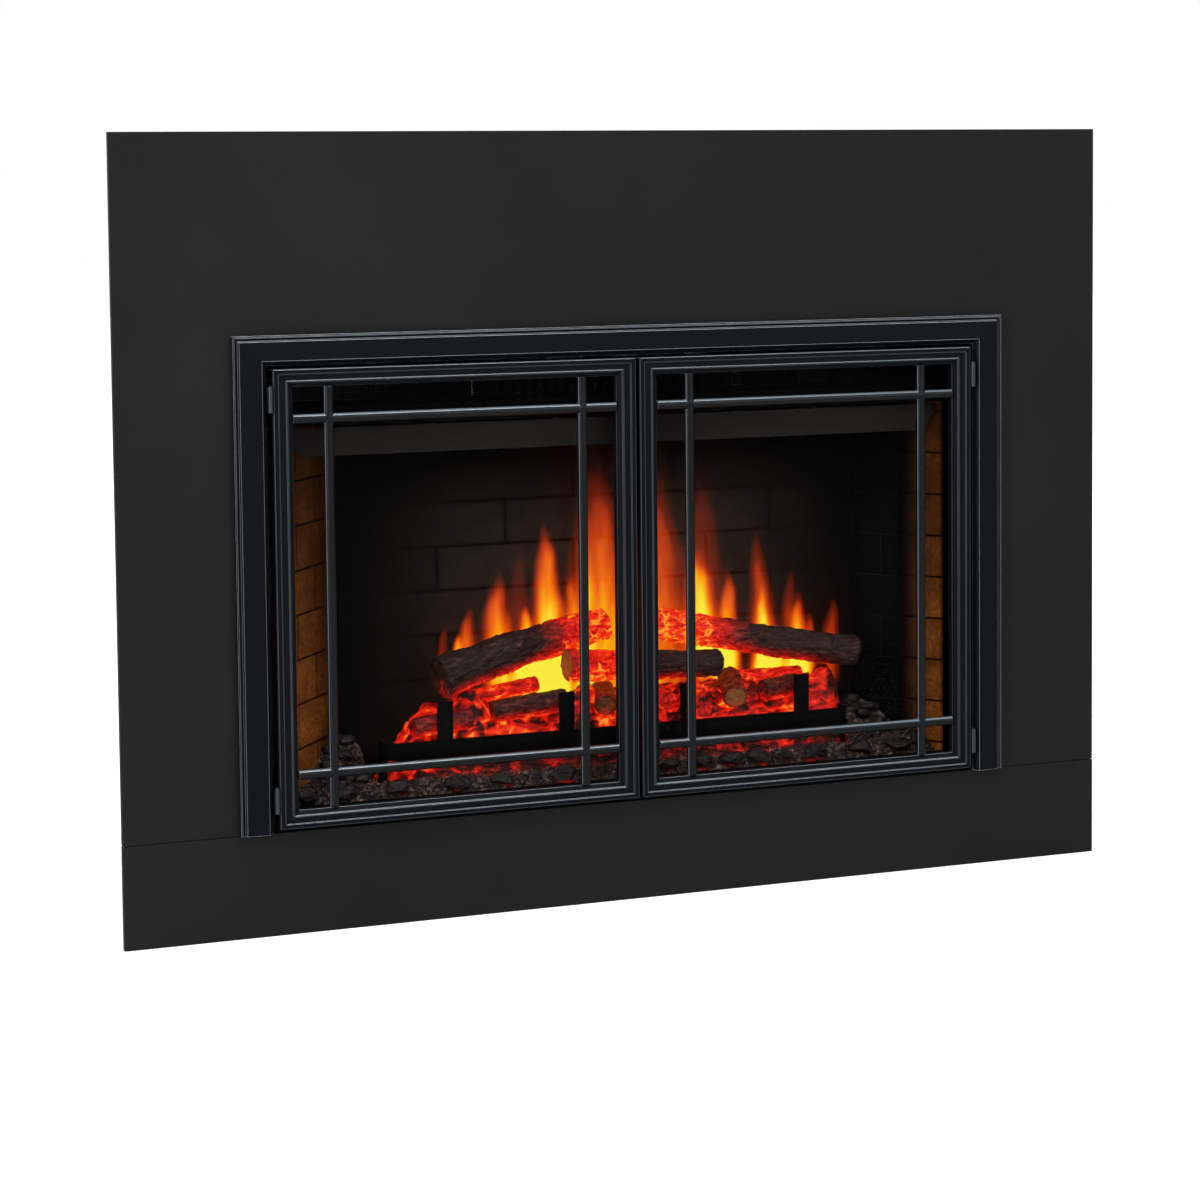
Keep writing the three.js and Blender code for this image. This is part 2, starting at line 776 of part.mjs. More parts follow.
function firebox() {
  const half = chassisInner - fit;
  const floorFront = glassBack + fit + channelWall + fit;
  const floorBack = chassisBack - sheet - 2 * fit;
  const floorSheet = box(-half, half, floorFront, floorBack, floorTop - sheet, floorTop);
  const leg = (x) => box(x, x + sheet, floorFront, floorBack, chassisBottom + sheet + fit, floorTop - 1);
  add(
    "firebox_floor",
    joined(floorSheet, leg(-half), leg(half - sheet), leg(-sheet / 2)),
    chassisBlack(),
  );

  const turn = Math.atan2(brickBackY - brickFrontY, brickFrontX - brickBackX);
  const brick = finish(0x9a6a32, 0.9, 0);
  const left = new THREE.Group();
  const panel = add("left_brick_panel", brickSide(), brick, left);
  panel.position.set(-brickFrontX, brickFrontY, 0);
  panel.rotation.z = turn;
  const right = new THREE.Group();
  right.scale.x = -1;
  const mirrored = add("right_brick_panel", brickSide(), brick.clone(), right);
  mirrored.position.copy(panel.position);
  mirrored.rotation.copy(panel.rotation);
  assembly.add(left, right);

  const tabs = valanceTabs.map((share) =>
    box(
      share * valanceHalfTop - valanceTabWidth / 2,
      share * valanceHalfTop + valanceTabWidth / 2,
      valanceY,
      valanceY + sheet,
      valanceTop - 1,
      ceilingBottom - fit,
    ),
  );
  const outline = [
    [-valanceHalfBottom, valanceBottom],
    [valanceHalfBottom, valanceBottom],
    [valanceHalfTop, valanceTop - valanceEndDrop],
    [valanceHalfTop, valanceTop],
    [-valanceHalfTop, valanceTop],
    [-valanceHalfTop, valanceTop - valanceEndDrop],
  ];
  add("valance", joined(plate(outline, valanceY, valanceY + sheet), ...tabs), chassisBlack());

  const headerFront = glassBack + 2 * fit + channelWall;
  add(
    "firebox_ceiling",
    joined(
      box(-half, half, headerFront, floorBack, ceilingBottom, ceilingTop),
      box(-half, half, headerFront, headerFront + sheet, ceilingBottom - 1.5, headerTop),
    ),
    chassisBlack(),
  );

  const screenHalf = brickBackX - fit;
  const low = floorTop + fit;
  add(
    "flame_screen",
    box(-screenHalf, screenHalf, screenY, screenY + screenThickness, low, screenTop),
    finish(0x2a211b, 0.5, 0),
  );
  const postY = screenY + screenThickness + fit;
  const frameTop = ceilingBottom - fit;
  const frame = cut(
    box(-screenHalf, screenHalf, postY, postY + postDepth, low, frameTop),
    box(
      -screenHalf + postWidth,
      screenHalf - postWidth,
      postY - 1,
      postY + postDepth + 1,
      low - 1,
      frameTop - postWidth,
    ),
  );
  add("screen_frame", frame, chassisBlack());
}

// Warm-air outlet: a slotted sheet above the glass.
function outletMesh() {
  const half = chassisInner - fit;
  const y0 = glassBack + 2 * fit + channelWall;
  const low = headerTop + fit;
  const pitch = (2 * half - meshSlotWeb) / meshSlots;
  const slots = [];
  for (let row = 0; row < meshRows; row++)
    for (let i = 0; i < meshSlots; i++) {
      const x = -half + meshSlotWeb + i * pitch;
      const z = low + meshSlotWeb + row * (meshSlotHeight + meshSlotWeb);
      slots.push(box(x, x + pitch - meshSlotWeb, y0 - 1, y0 + 2, z, z + meshSlotHeight));
    }
  const plain = box(-half, half, y0, y0 + meshThickness, low, meshTop);
  add("outlet_mesh", cut(plain, ...slots), chassisBlack());
}

// A log: rings along a bent line, with bark that swells and shrinks.
// swell makes the same log a little larger, to cut its seat in what carries it.
function log({ from, to, start, end, sides = 10, rings = 7, sag = 0, seed, rough = 0.05 }, swell = 0) {
  const a = new THREE.Vector3(...from);
  const b = new THREE.Vector3(...to);
  const along = b.clone().sub(a).normalize();
  const side = new THREE.Vector3().crossVectors(along, new THREE.Vector3(0, 0, 1)).normalize();
  const up = new THREE.Vector3().crossVectors(side, along);
  const list = [];
  for (let r = 0; r < rings; r++) {
    const t = r / (rings - 1);
    const middle = a.clone().lerp(b, t);
    middle.z -= sag * 4 * t * (1 - t);
    middle.addScaledVector(along, (2 * t - 1) * swell);
    const size = THREE.MathUtils.lerp(start, end, t);
    const ring = [];
    for (let i = 0; i < sides; i++) {
      const angle = (2 * Math.PI * i) / sides;
      const radius = size * (1 + rough * scatter(seed, r, i)) + swell;
      ring.push(
        middle
          .clone()
          .addScaledVector(side, radius * Math.cos(angle))
          .addScaledVector(up, radius * Math.sin(angle))
          .toArray(),
      );
    }
    list.push(ring);
  }
  const caps = [];
  for (let i = 1; i + 1 < sides; i++) caps.push([0, i, i + 1]);
  return closedFromRings(list, caps);
}

const bigLogs = {
  left: { from: [-200, 56, 240], to: [-4, 84, 281], start: 25, end: 20, sag: -4, seed: 3, rings: 9 },
  centre: { from: [-60, 52, 246], to: [119, 58, 235], start: 20, end: 16, sag: 2, seed: 7, rings: 9 },
  right: { from: [50, 74, 281], to: [285, 62, 236], start: 20, end: 19, sag: 2, seed: 11, rings: 9 },
};

const smallLogs = [
  { from: [-142, 58, 200], to: [-58, 62, 207], start: 13, end: 13.5, seed: 21, sides: 8, rings: 4 },
  { from: [-232, 52, 190], to: [-166, 58, 196], start: 12, end: 13, seed: 23, sides: 8, rings: 4 },
  { from: [-176, 80, 210], to: [-82, 84, 222], start: 10, end: 9, seed: 25, sides: 8, rings: 4 },
  { from: [-18, 47, 199], to: [-6, 88, 212], start: 15, end: 14, seed: 27, sides: 8, rings: 3 },
  { from: [64, 48, 194], to: [40, 92, 210], start: 12, end: 12, seed: 29, sides: 8, rings: 3 },
  { from: [136, 46, 196], to: [112, 90, 214], start: 16.5, end: 15, seed: 31, sides: 10, rings: 3 },
  { from: [168, 52, 201], to: [214, 66, 204], start: 14, end: 13, seed: 33, sides: 8, rings: 4 },
  { from: [140, 86, 213], to: [228, 84, 212], start: 9, end: 9, seed: 35, sides: 8, rings: 4 },
];

// Humps behind the small logs that the big logs lie on: X, Y, top, radius.
const logRests = [
  [-165, 66, 240, 10],
  [-35, 62, 238, 9],
  [90, 66, 236, 9],
  [250, 70, 238, 10],
];

// A block with an uneven top, over a plan whose half width changes from front to back.
function moundOf({ y0, y1, bottom, halfAt, topAt, columns, rows }) {
  const points = [];
  const faces = [];
  const at = (layer, i, j) => layer * (columns + 1) * (rows + 1) + j * (columns + 1) + i;
  for (const layer of [0, 1])
    for (let j = 0; j <= rows; j++)
      for (let i = 0; i <= columns; i++) {
        const y = THREE.MathUtils.lerp(y0, y1, j / rows);
        const x = halfAt(y) * ((2 * i) / columns - 1);
        points.push([x, y, layer ? topAt(x, y) : bottom]);
      }
  const quad = (a, b, c, d) => faces.push([a, b, c], [a, c, d]);
  for (let j = 0; j < rows; j++)
    for (let i = 0; i < columns; i++) {
      quad(at(1, i, j), at(1, i + 1, j), at(1, i + 1, j + 1), at(1, i, j + 1));
      quad(at(0, i, j), at(0, i, j + 1), at(0, i + 1, j + 1), at(0, i + 1, j));
    }
  for (let i = 0; i < columns; i++) {
    quad(at(0, i, 0), at(0, i + 1, 0), at(1, i + 1, 0), at(1, i, 0));
    quad(at(0, i + 1, rows), at(0, i, rows), at(1, i, rows), at(1, i + 1, rows));
  }
  for (let j = 0; j < rows; j++) {
    quad(at(0, 0, j + 1), at(0, 0, j), at(1, 0, j), at(1, 0, j + 1));
    quad(at(0, columns, j), at(0, columns, j + 1), at(1, columns, j + 1), at(1, columns, j));
  }
  const geometry = new THREE.BufferGeometry();
  geometry.setAttribute("position", new THREE.Float32BufferAttribute(points.flat(), 3));
  geometry.setIndex(faces.flat());
  geometry.computeVertexNormals();
  return geometry;
}

const fireboxHalfAt = (y) => {
  const t = (y - brickFrontY) / (brickBackY - brickFrontY);
  return THREE.MathUtils.lerp(brickFrontX, brickBackX, t) - 2 * fit;
};

function ashTop(x, y) {
  const slope = smooth(brickFrontY, brickFrontY + ashStepReach, y) * ashStep;
  const corner = smooth(emberHalf - 60, emberHalf + 20, Math.abs(x)) * smooth(60, 98, y);
  return ashFrontZ + slope + corner * ashCornerRise + 1.6 * scatter(Math.round(x), Math.round(y));
}

function emberTop(x, y) {
  const inward = smooth(0, emberEndRun, emberHalf - Math.abs(x));
  const back = smooth(emberFrontY - 6, emberFrontY + 30, y);
  const full = THREE.MathUtils.lerp(emberFrontZ, emberTopZ, back);
  return THREE.MathUtils.lerp(emberEndZ, full, inward) + 2.2 * scatter(Math.round(x), Math.round(y), 5);
}

// Front row of coals by X, then the heaps in the back corners.
const coalPlaces = [
  ...[-351, -311, -252, -188, -139, -72, 6, 48, 85, 123, 155, 184, 219, 278, 322].map((x, i) => [
    x,
    34 + 2 * scatter(i, 2),
    11.5 + 2 * scatter(i, 3),
  ]),
  ...[-1, 1].flatMap((way) =>
    [
      [300, 66, 9],
      [322, 58, 8],
      [312, 84, 9],
      [293, 96, 8.5],
      [339, 44, 7],
    ].map(([x, y, size]) => [way * x, y, size]),
  ),
];

function coal([x, y, size], i) {
  const stone = new THREE.IcosahedronGeometry(size, 0);
  stone.scale(1, 0.72, 0.6);
  stone.rotateZ(scatter(i, 4) * 1.2);
  stone.rotateX(scatter(i, 6) * 0.3);
  return stone.translate(x, y, ashTop(x, y) + size * 0.34);
}

function grate(swell = 0) {
  const y1 = grateY + grateThickness;
  const shape = new THREE.Shape();
  const outer = grateHalf + swell;
  const [front, back] = [grateY - swell, y1 + grateArm];
  shape.moveTo(-outer, back);
  shape.lineTo(-outer, front + grateCorner);
  shape.absarc(-outer + grateCorner, front + grateCorner, grateCorner, Math.PI, 1.5 * Math.PI);
  shape.absarc(outer - grateCorner, front + grateCorner, grateCorner, 1.5 * Math.PI, 2 * Math.PI);
  shape.lineTo(outer, back);
  const inset = grateThickness + 2 * swell;
  const tight = grateCorner - inset;
  shape.lineTo(outer - inset, back);
  shape.lineTo(outer - inset, front + grateCorner);
  shape.absarc(outer - grateCorner, front + grateCorner, tight, 2 * Math.PI, 1.5 * Math.PI, true);
  shape.absarc(-outer + grateCorner, front + grateCorner, tight, 1.5 * Math.PI, Math.PI, true);
  shape.lineTo(-outer + inset, back);
  const height = grateTop - grateBottom + 2 * swell;
  const bar = new THREE.ExtrudeGeometry(shape, {
    depth: height,
    bevelEnabled: false,
    curveSegments: 5,
  }).translate(0, 0, grateBottom - swell);
  const uprights = upright.at.map((share) => share * grateHalf).map((x) =>
    box(
      x - upright.width / 2 - swell,
      x + upright.width / 2 + swell,
      grateY - swell,
      y1 + swell,
      grateTop - 1,
      upright.top + swell,
    ),
  );
  const legs = [-1, 1].map((way) => {
    const a = way * outer;
    const b = way * (outer - inset);
    return box(
      Math.min(a, b),
      Math.max(a, b),
      back - upright.width - swell,
      back + swell,
      floorTop + 2 * fit - swell,
      grateBottom + 1,
    );
  });
  return joined(bar, ...uprights, ...legs);
}

function fire() {
  const seats = Object.values(bigLogs).map((entry) => log(entry, fit));
  const grateSeat = grate(fit);
  const coals = coalPlaces.map((place, i) => coal(place, i));
  const back = screenY - fit;
  const emberPlan = {
    y0: emberFrontY,
    y1: back,
    bottom: floorTop + fit,
    halfAt: () => emberHalf,
    topAt: emberTop,
    columns: 30,
    rows: 7,
  };
  const hollow = moundOf({
    ...emberPlan,
    y0: emberFrontY + emberShell,
    y1: back - emberShell,
    bottom: floorTop - 1,
    halfAt: () => emberHalf - emberShell - 6,
    topAt: () => emberEndZ - emberShell - 3,
    columns: 2,
    rows: 2,
  });
  const rests = logRests.map(([x, y, top, radius]) => rod("z", radius, emberFrontZ, top, x, y, 9));
  const moulded = joined(moundOf(emberPlan), ...smallLogs.map((entry) => log(entry)), ...rests);
  add("ember_bed", largest(cut(moulded, hollow, grateSeat, ...seats)), ember());

  const ashBed = moundOf({
    y0: brickFrontY,
    y1: back,
    bottom: floorTop + fit,
    halfAt: fireboxHalfAt,
    topAt: ashTop,
    columns: 34,
    rows: 7,
  });
  const recess = box(
    -emberHalf - fit,
    emberHalf + fit,
    emberFrontY - fit,
    back + 1,
    floorTop - 1,
    emberTopZ + 20,
  );
  const beforeGlass = box(-brickFrontX, brickFrontX, 0, brickFrontY, floorTop, emberTopZ);
  const bed = largest(cut(joined(ashBed, ...coals), recess, beforeGlass, grateSeat));
  add("ash_bed", bed, finish(0x4a3a30, 0.95, 0));
  add("log_grate", grate(), satinBlack());

  const [leftSeat, centreSeat] = seats;
  add("log_left", largest(cut(log(bigLogs.left), centreSeat)), bark());
  add("log_centre", log(bigLogs.centre), bark());
  add("log_right", largest(cut(log(bigLogs.right), centreSeat, leftSeat)), bark());
}

// Behind the screen: flicker rod with paddles, gear motor, bearing and the lamp strips.
function flicker() {
  const pieces = [rod("x", flickerRadius, -flickerHalf, flickerHalf, 0, 0, 12)];
  const pitch = (2 * (flickerHalf - flickerEnd)) / paddleCount;
  for (let i = 0; i < paddleCount; i++) {
    const x = -flickerHalf + flickerEnd + i * pitch;
    const paddle = box(x + 2, x + pitch - 2, -0.6, 0.6, -paddleReach, paddleReach);
    pieces.push(paddle.rotateX(i * 0.9));
  }
  const mesh = add("flicker_rod", joined(...pieces), finish(0xc9ccd0, 0.15, 1));
  mesh.position.set(0, flickerY, flickerZ);

  const low = floorTop + fit;
  const high = flickerZ + gearMotorRadius + standRise;
  const [y0, y1] = [flickerY - gearMotorRadius, flickerY + gearMotorRadius];
  const bore = (from, to) => rod("x", flickerRadius + running, from, to, flickerY, flickerZ, 12);
  const stand = (x) => box(x, x + sheet, y0, y1, low, high);
  const foot = (x) => box(x, x + standFoot, y0, y1, low, low + sheet);
  const left = -flickerHalf + motorStandInset;
  const motorEnd = left - gearMotorLength;
  const motor = rod("x", gearMotorRadius, motorEnd, left + 0.5, flickerY, flickerZ, 20);
  add(
    "flicker_motor",
    cut(joined(stand(left), foot(left), motor), bore(left - motorStandInset - 2, left + 2 * sheet)),
    zinc(),
  );
  const right = flickerHalf - bearingStandInset;
  const bush = rod(
    "x",
    flickerRadius + bearingWall,
    right - 2,
    right + bearingWall,
    flickerY,
    flickerZ,
  );
  add(
    "flicker_bearing",
    cut(
      joined(stand(right), foot(right + 1 - standFoot), bush),
      bore(right - 5, right + 2 * bearingWall),
    ),
    zinc(),
  );

  const lampHalf = flickerHalf - stripInset;
  const half = lampSize / 2;
  const lamps = [];
  for (let i = 0; i < lampCount; i++) {
    const x = -lampHalf + ((i + 0.5) * 2 * lampHalf) / lampCount;
    const front = stripY - lampProud;
    lamps.push(box(x - half, x + half, front, stripY + 1, lampZ - half, lampZ + half));
  }
  const strip = joined(
    box(-lampHalf, lampHalf, stripY, stripY + stripThickness, low, stripTop),
    box(-lampHalf, lampHalf, stripY, stripY + stripFoot, low, low + sheet),
    ...lamps,
  );
  add("flame_lamp_strip", strip, boardGreen());

  const boardHalf = emberHalf - emberBoardInset;
  const top = low + emberBoardThickness;
  const boardLamps = [];
  for (let i = 0; i < lampCount; i++) {
    const x = -boardHalf + ((i + 0.5) * 2 * boardHalf) / lampCount;
    for (const y of emberBoardRows)
      boardLamps.push(box(x - half, x + half, y - half, y + half, low + 1, top + emberLampRise));
  }
  const [front, back] = [emberFrontY + 2 * emberShell, screenY - 2 * emberShell];
  const board = box(-boardHalf, boardHalf, front, back, low, top);
  add("ember_lamp_board", joined(board, ...boardLamps), boardGreen());
}

// Fan heater above the firebox, blowing out through the mesh.
function heater() {
  const low = ceilingTop + fit;
  const bore = shaftRadius + running;
  const intakes = ductIntakes.map((x) =>
    box(x - intakeHalf, x + intakeHalf, ductBack - 3, ductBack + 1, intakeBottom, intakeTop),
  );
  const housing = cut(
    box(-ductHalf, ductHalf, ductFront, ductBack, low, ductTop),
    box(
      -ductHalf + ductWall,
      ductHalf - ductWall,
      ductFront - 1,
      ductBack - ductWall,
      low + ductWall,
      ductTop - ductWall,
    ),
    rod("x", bore, -ductHalf - 1, -ductHalf + ductWall + 1, wheelY, wheelZ, 12),
    ...intakes,
  );
  add("heater_housing", housing, zinc());

  const shaftEnd = wheelHalf + shaftSpare;
  const wheel = [rod("x", shaftRadius, -ductHalf - 4, shaftEnd, 0, 0, 12)];
  for (const x of [-wheelHalf, -wheelHalf / 3, wheelHalf / 3, wheelHalf - wheelDisc])
    wheel.push(rod("x", wheelRadius, x, x + wheelDisc, 0, 0, 24));
  const bladeTop = wheelRadius - 0.6;
  const bladeMiddle = bladeTop - bladeWidth / 2;
  for (let i = 0; i < wheelBlades; i++) {
    const blade = box(
      -wheelHalf,
      wheelHalf,
      -bladeThickness / 2,
      bladeThickness / 2,
      bladeTop - bladeWidth,
      bladeTop,
    );
    wheel.push(
      blade
        .translate(0, 0, -bladeMiddle)
        .rotateX(0.5)
        .translate(0, 0, bladeMiddle)
        .rotateX((2 * Math.PI * i) / wheelBlades),
    );
  }
  const mesh = add("blower_wheel", joined(...wheel), zinc());
  mesh.position.set(0, wheelY, wheelZ);

  const seatX = wheelHalf + motorSeatGap;
  const motorEnd = ductHalf - ductWall - fit;
  const seat = box(
    seatX,
    seatX + sheet,
    wheelY - motorSeatHalf,
    wheelY + motorSeatHalf,
    low + ductWall + fit,
    wheelZ + motorSeatHalf,
  );
  const motor = rod("x", blowerMotorRadius, seatX, motorEnd, wheelY, wheelZ, 20);
  const shaftHole = rod("x", bore, seatX - 3, shaftEnd + 2, wheelY, wheelZ, 12);
  add("blower_motor", cut(joined(seat, motor), shaftHole), finish(0x55585c, 0.5, 0.8));

  const [y0, y1] = [heaterY, heaterY + heaterDepth];
  const fins = [];
  for (let i = 0; i < finCount; i++) {
    const x = -wheelHalf + finEdge + (i * 2 * (wheelHalf - finEdge)) / (finCount - 1);
    fins.push(box(x - 0.5, x + 0.5, y0, y1, low + ductWall + 3, finTop));
  }
  const end = (x) =>
    box(
      x - elementEnd / 2,
      x + elementEnd / 2,
      y0 - 2,
      y1 + 2,
      low + ductWall + fit,
      elementEndTop,
    );
  const tubes = heaterTubes.map((z) =>
    box(-wheelHalf, wheelHalf, y0 + tubeInset, y1 - tubeInset, z, z + tubeThickness),
  );
  add(
    "heater_element",
    joined(end(-wheelHalf), end(wheelHalf), ...tubes, ...fins),
    finish(0xb9bcc0, 0.4, 0.9),
  );
  controlBoard(low);
}

function controlBoard(low) {
  const x0 = ductHalf + boardFromDuct;
  const x1 = x0 + boardWidth;
  const [y0, y1] = [boardFront, boardFront + boardDepth];
  const top = boardZ + boardThickness;
  const blocks = boardBlocks.map(([left, front, width, depth, height]) =>
    box(x0 + left, x0 + left + width, y0 + front, y0 + front + depth, boardZ + 1, boardZ + height),
  );
  const cans = boardCans.map((x) =>
    rod("z", boardCanRadius, boardZ + 1, boardZ + boardCanHeight, x0 + x, y0 + boardCanY, 12),
  );
  const posts = [x0 + boardPostInset, x1 - boardPostInset].flatMap((x) =>
    [y0 + boardPostInset, y1 - boardPostInset].map((y) =>
      rod("z", boardPost, low, boardZ + 0.5, x, y, 8),
    ),
  );
  const plain = box(x0, x1, y0, y1, boardZ, top);
  add("control_board", joined(plain, ...blocks, ...cans, ...posts), boardGreen());
}

// Mains rocker in its bezel, and the gland where the cord comes in.
function rearControls() {
  const tiltRise = (rockerHeight / 2) * Math.sin(THREE.MathUtils.degToRad(rockerTilt));
  const halfW = rockerWidth / 2;
  const halfH = rockerHeight / 2;
  const [y0, y1] = [chassisBack + fit, chassisBack + bezelProud];
  const well = 12;
  const throat = bezelBorder / 2 - fit;
  const bezel = cut(
    joined(
      box(-halfW - bezelBorder, halfW + bezelBorder, y0, y1, -halfH - bezelBorder, halfH + bezelBorder),
      box(-halfW - throat, halfW + throat, chassisBack - well, y1, -halfH - throat, halfH + throat),
    ),
    box(
      -halfW - running,
      halfW + running,
      chassisBack - well + 1,
      y1 + 1,
      -halfH - running,
      halfH + running,
    ),
  );
  const bezelMesh = add("rocker_bezel", bezel, blackPlastic());
  bezelMesh.position.set(rockerX, 0, rockerZ);

  const face = 1.6;
  const thick = 6;
  const rockerShape = [
    [-halfH, 0],
    [0, -face],
    [halfH, 0],
    [halfH - 2, -thick],
    [-halfH + 2, -thick],
  ];
  const ring = (x) => rockerShape.map(([z, depth]) => [x, depth, z]);
  const rocker = add(
    "power_rocker",
    closedFromRings([ring(-halfW), ring(halfW)], capOf(rockerShape)),
    finish(0x7a1512, 0.35, 0),
  );
  rocker.position.set(rockerX, chassisBack + bezelProud + tiltRise, rockerZ);
  rocker.rotation.x = THREE.MathUtils.degToRad(-rockerTilt);

  const gland = new THREE.LatheGeometry(
    [
      [3.6, 0],
      [glandRadius + 2.5, 0],
      [glandRadius + 2.5, 3],
      [glandRadius - 1, 4],
      [glandRadius - 3.2, glandLength - fit],
      [3.6, glandLength - fit],
      [3.6, 0],
    ].map(([r, z]) => new THREE.Vector2(r, z)),
    20,
  );
  const glandMesh = add("cord_gland", gland, blackPlastic());
  glandMesh.position.set(glandX, chassisBack + fit, glandZ);
}

surround();
trim();
doors();
glass();
chassis();
skids();
firebox();
outletMesh();
fire();
flicker();
heater();
rearControls();

export default insert;
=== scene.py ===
import json
import math

import bmesh
import bpy
from mathutils import Matrix, Vector, noise


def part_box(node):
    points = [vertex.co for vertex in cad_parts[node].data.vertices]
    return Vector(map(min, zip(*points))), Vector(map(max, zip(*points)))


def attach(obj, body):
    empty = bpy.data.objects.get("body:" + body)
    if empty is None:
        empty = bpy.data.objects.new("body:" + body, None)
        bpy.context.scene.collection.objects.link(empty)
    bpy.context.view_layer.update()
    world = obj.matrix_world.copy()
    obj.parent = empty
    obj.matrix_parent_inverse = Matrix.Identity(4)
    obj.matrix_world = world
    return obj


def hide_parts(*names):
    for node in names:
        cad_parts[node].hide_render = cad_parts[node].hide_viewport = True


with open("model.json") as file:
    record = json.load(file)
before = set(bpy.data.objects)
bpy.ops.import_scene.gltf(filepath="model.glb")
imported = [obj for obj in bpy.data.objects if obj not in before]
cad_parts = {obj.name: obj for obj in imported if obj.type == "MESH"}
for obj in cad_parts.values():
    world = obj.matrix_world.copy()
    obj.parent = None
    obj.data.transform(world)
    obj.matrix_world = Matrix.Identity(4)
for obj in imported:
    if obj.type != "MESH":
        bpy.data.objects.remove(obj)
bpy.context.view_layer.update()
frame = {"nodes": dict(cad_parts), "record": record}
nodes = frame["nodes"]
mm = 0.001
assemblyY = -0.113  # the surround's front face lies here

# colours, nodes and meshes


def colour(code, alpha=1.0):
    # sRGB hex to the linear values that shaders take
    parts = [int(code[i : i + 2], 16) / 255 for i in (1, 3, 5)]
    linear = [p / 12.92 if p <= 0.04045 else ((p + 0.055) / 1.055) ** 2.4 for p in parts]
    return (*linear, alpha)


def addNode(tree, kind, inputs=None, stops=None, **settings):
    # adds one node, sets it, links or fills its sockets, and fills a ramp where it has one
    node = tree.nodes.new(kind)
    for key, value in settings.items():
        setattr(node, key, value)
    for key, value in (inputs or {}).items():
        if isinstance(value, bpy.types.NodeSocket):
            tree.links.new(value, node.inputs[key])
        else:
            node.inputs[key].default_value = value
    if stops:
        ramp = node.color_ramp
        while len(ramp.elements) < len(stops):
            ramp.elements.new(0.5)
        for element, (place, code) in zip(ramp.elements, stops):
            element.position = place
            element.color = colour(code)
    return node


def newMaterial(name, **shader):
    made = bpy.data.materials.new(name)
    made.use_nodes = True
    tree = made.node_tree
    principled = tree.nodes["Principled BSDF"]
    for key, value in shader.items():
        principled.inputs[key].default_value = value
    return made, tree, principled


def smooth(low, high, value):
    t = min(1.0, max(0.0, (value - low) / (high - low)))
    return t * t * (3 - 2 * t)


def mixed(stops, place):
    # value on a line through (place, value) stops
    for (p0, v0), (p1, v1) in zip(stops, stops[1:]):
        if place <= p1:
            return v0 + (v1 - v0) * max(0.0, (place - p0) / (p1 - p0))
    return stops[-1][1]


def lumps(point, size, seed=0.0):
    # soft unevenness from -1 to 1, about size long, in the units of the point
    return noise.noise(Vector((point[0] / size + seed, point[1] / size - seed, point[2] / size + 2 * seed)))


def chunks(point, size, seed=0.0):
    # 0 in the cracks of a broken surface and 1 inside its chunks, which are about size across
    near = noise.voronoi(Vector((point[0] / size + seed, point[1] / size - seed, point[2] / size)))[0]
    return min(1.0, (near[1] - near[0]) * 1.5)


def row(x, y, z):
    # assembly millimetres to the frame's metres
    return (x * mm, y * mm + assemblyY, z * mm)


def toMesh(name, points, faces, material=None, attributes=None, soft=True):
    mesh = bpy.data.meshes.new(name)
    mesh.from_pydata([tuple(p) for p in points], [], faces)
    for key, values in (attributes or {}).items():
        mesh.attributes.new(key, "FLOAT", "POINT").data.foreach_set("value", values)
    mesh.polygons.foreach_set("use_smooth", [soft] * len(mesh.polygons))
    if material:
        mesh.materials.append(material)
    mesh.update()
    piece = bpy.data.objects.new(name, mesh)
    bpy.context.scene.collection.objects.link(piece)
    return piece


def standsFor(piece, *replaced, slot=None):
    # the piece rides with the solids it stands for
    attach(piece, body(replaced[0]))
    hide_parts(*replaced)
    return piece


def freeze(piece):
    # the evaluated piece as a plain mesh, its modifiers removed
    graph = bpy.context.evaluated_depsgraph_get()
    mesh = bpy.data.meshes.new_from_object(piece.evaluated_get(graph))
    piece.modifiers.clear()
    piece.data = mesh
    return piece


def facingOut(piece):
    # every face turned outwards
    work = bmesh.new()
    work.from_mesh(piece.data)
    bmesh.ops.recalc_face_normals(work, faces=work.faces)
    work.to_mesh(piece.data)
    work.free()
    return piece


def body(name):
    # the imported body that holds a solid
    for key, held in frame["record"]["behaviour"]["bodies"].items():
        if name in held:
            return key


# camera, light and floor

view = {"place": (-1.1233, -2.9382, 0.7557), "yaw": 21.0, "pitch": 3.946, "roll": -0.559,
        "lens": 87.42, "shift": -0.18, "sensor": 36}  # metres, degrees and millimetres


def makeCamera():
    yaw, pitch, roll = (math.radians(view[key]) for key in ("yaw", "pitch", "roll"))
    ahead = Vector((math.sin(yaw) * math.cos(pitch), math.cos(yaw) * math.cos(pitch), -math.sin(pitch)))
    level = Vector((math.cos(yaw), -math.sin(yaw), 0))
    upright = level.cross(ahead)
    right = level * math.cos(roll) + upright * math.sin(roll)
    up = upright * math.cos(roll) - level * math.sin(roll)
    data = bpy.data.cameras.new("camera")
    data.sensor_width = view["sensor"]
    data.lens = view["lens"]
    data.shift_y = view["shift"]
    data.clip_end = 60
    camera = bpy.data.objects.new("camera", data)
    turn = Matrix((right, up, -ahead)).transposed().to_4x4()
    camera.matrix_world = Matrix.Translation(view["place"]) @ turn
    bpy.context.scene.collection.objects.link(camera)
    bpy.context.scene.camera = camera


# places and sizes in metres
lamps = {
    "left softbox": {"place": (-2.6, -1.3, 1.2), "aim": (0, -0.1, 0.4), "size": (0.6, 2.0), "watts": 60},
    "top softbox": {"place": (0.1, -1.1, 2.9), "aim": (0, -0.1, 0.4), "size": (2.2, 0.5), "watts": 56},
    "front fill": {"place": (1.8, -3.6, 1.9), "aim": (0, 0, 0.4), "size": (2.4, 2.4), "watts": 56},
    "rear fill": {"place": (-1.5, 3.4, 2.4), "aim": (0, 0, 0.4), "size": (2.4, 2.4), "watts": 80},
}
ambient = 0.42  # the white sky's strength where it only lights


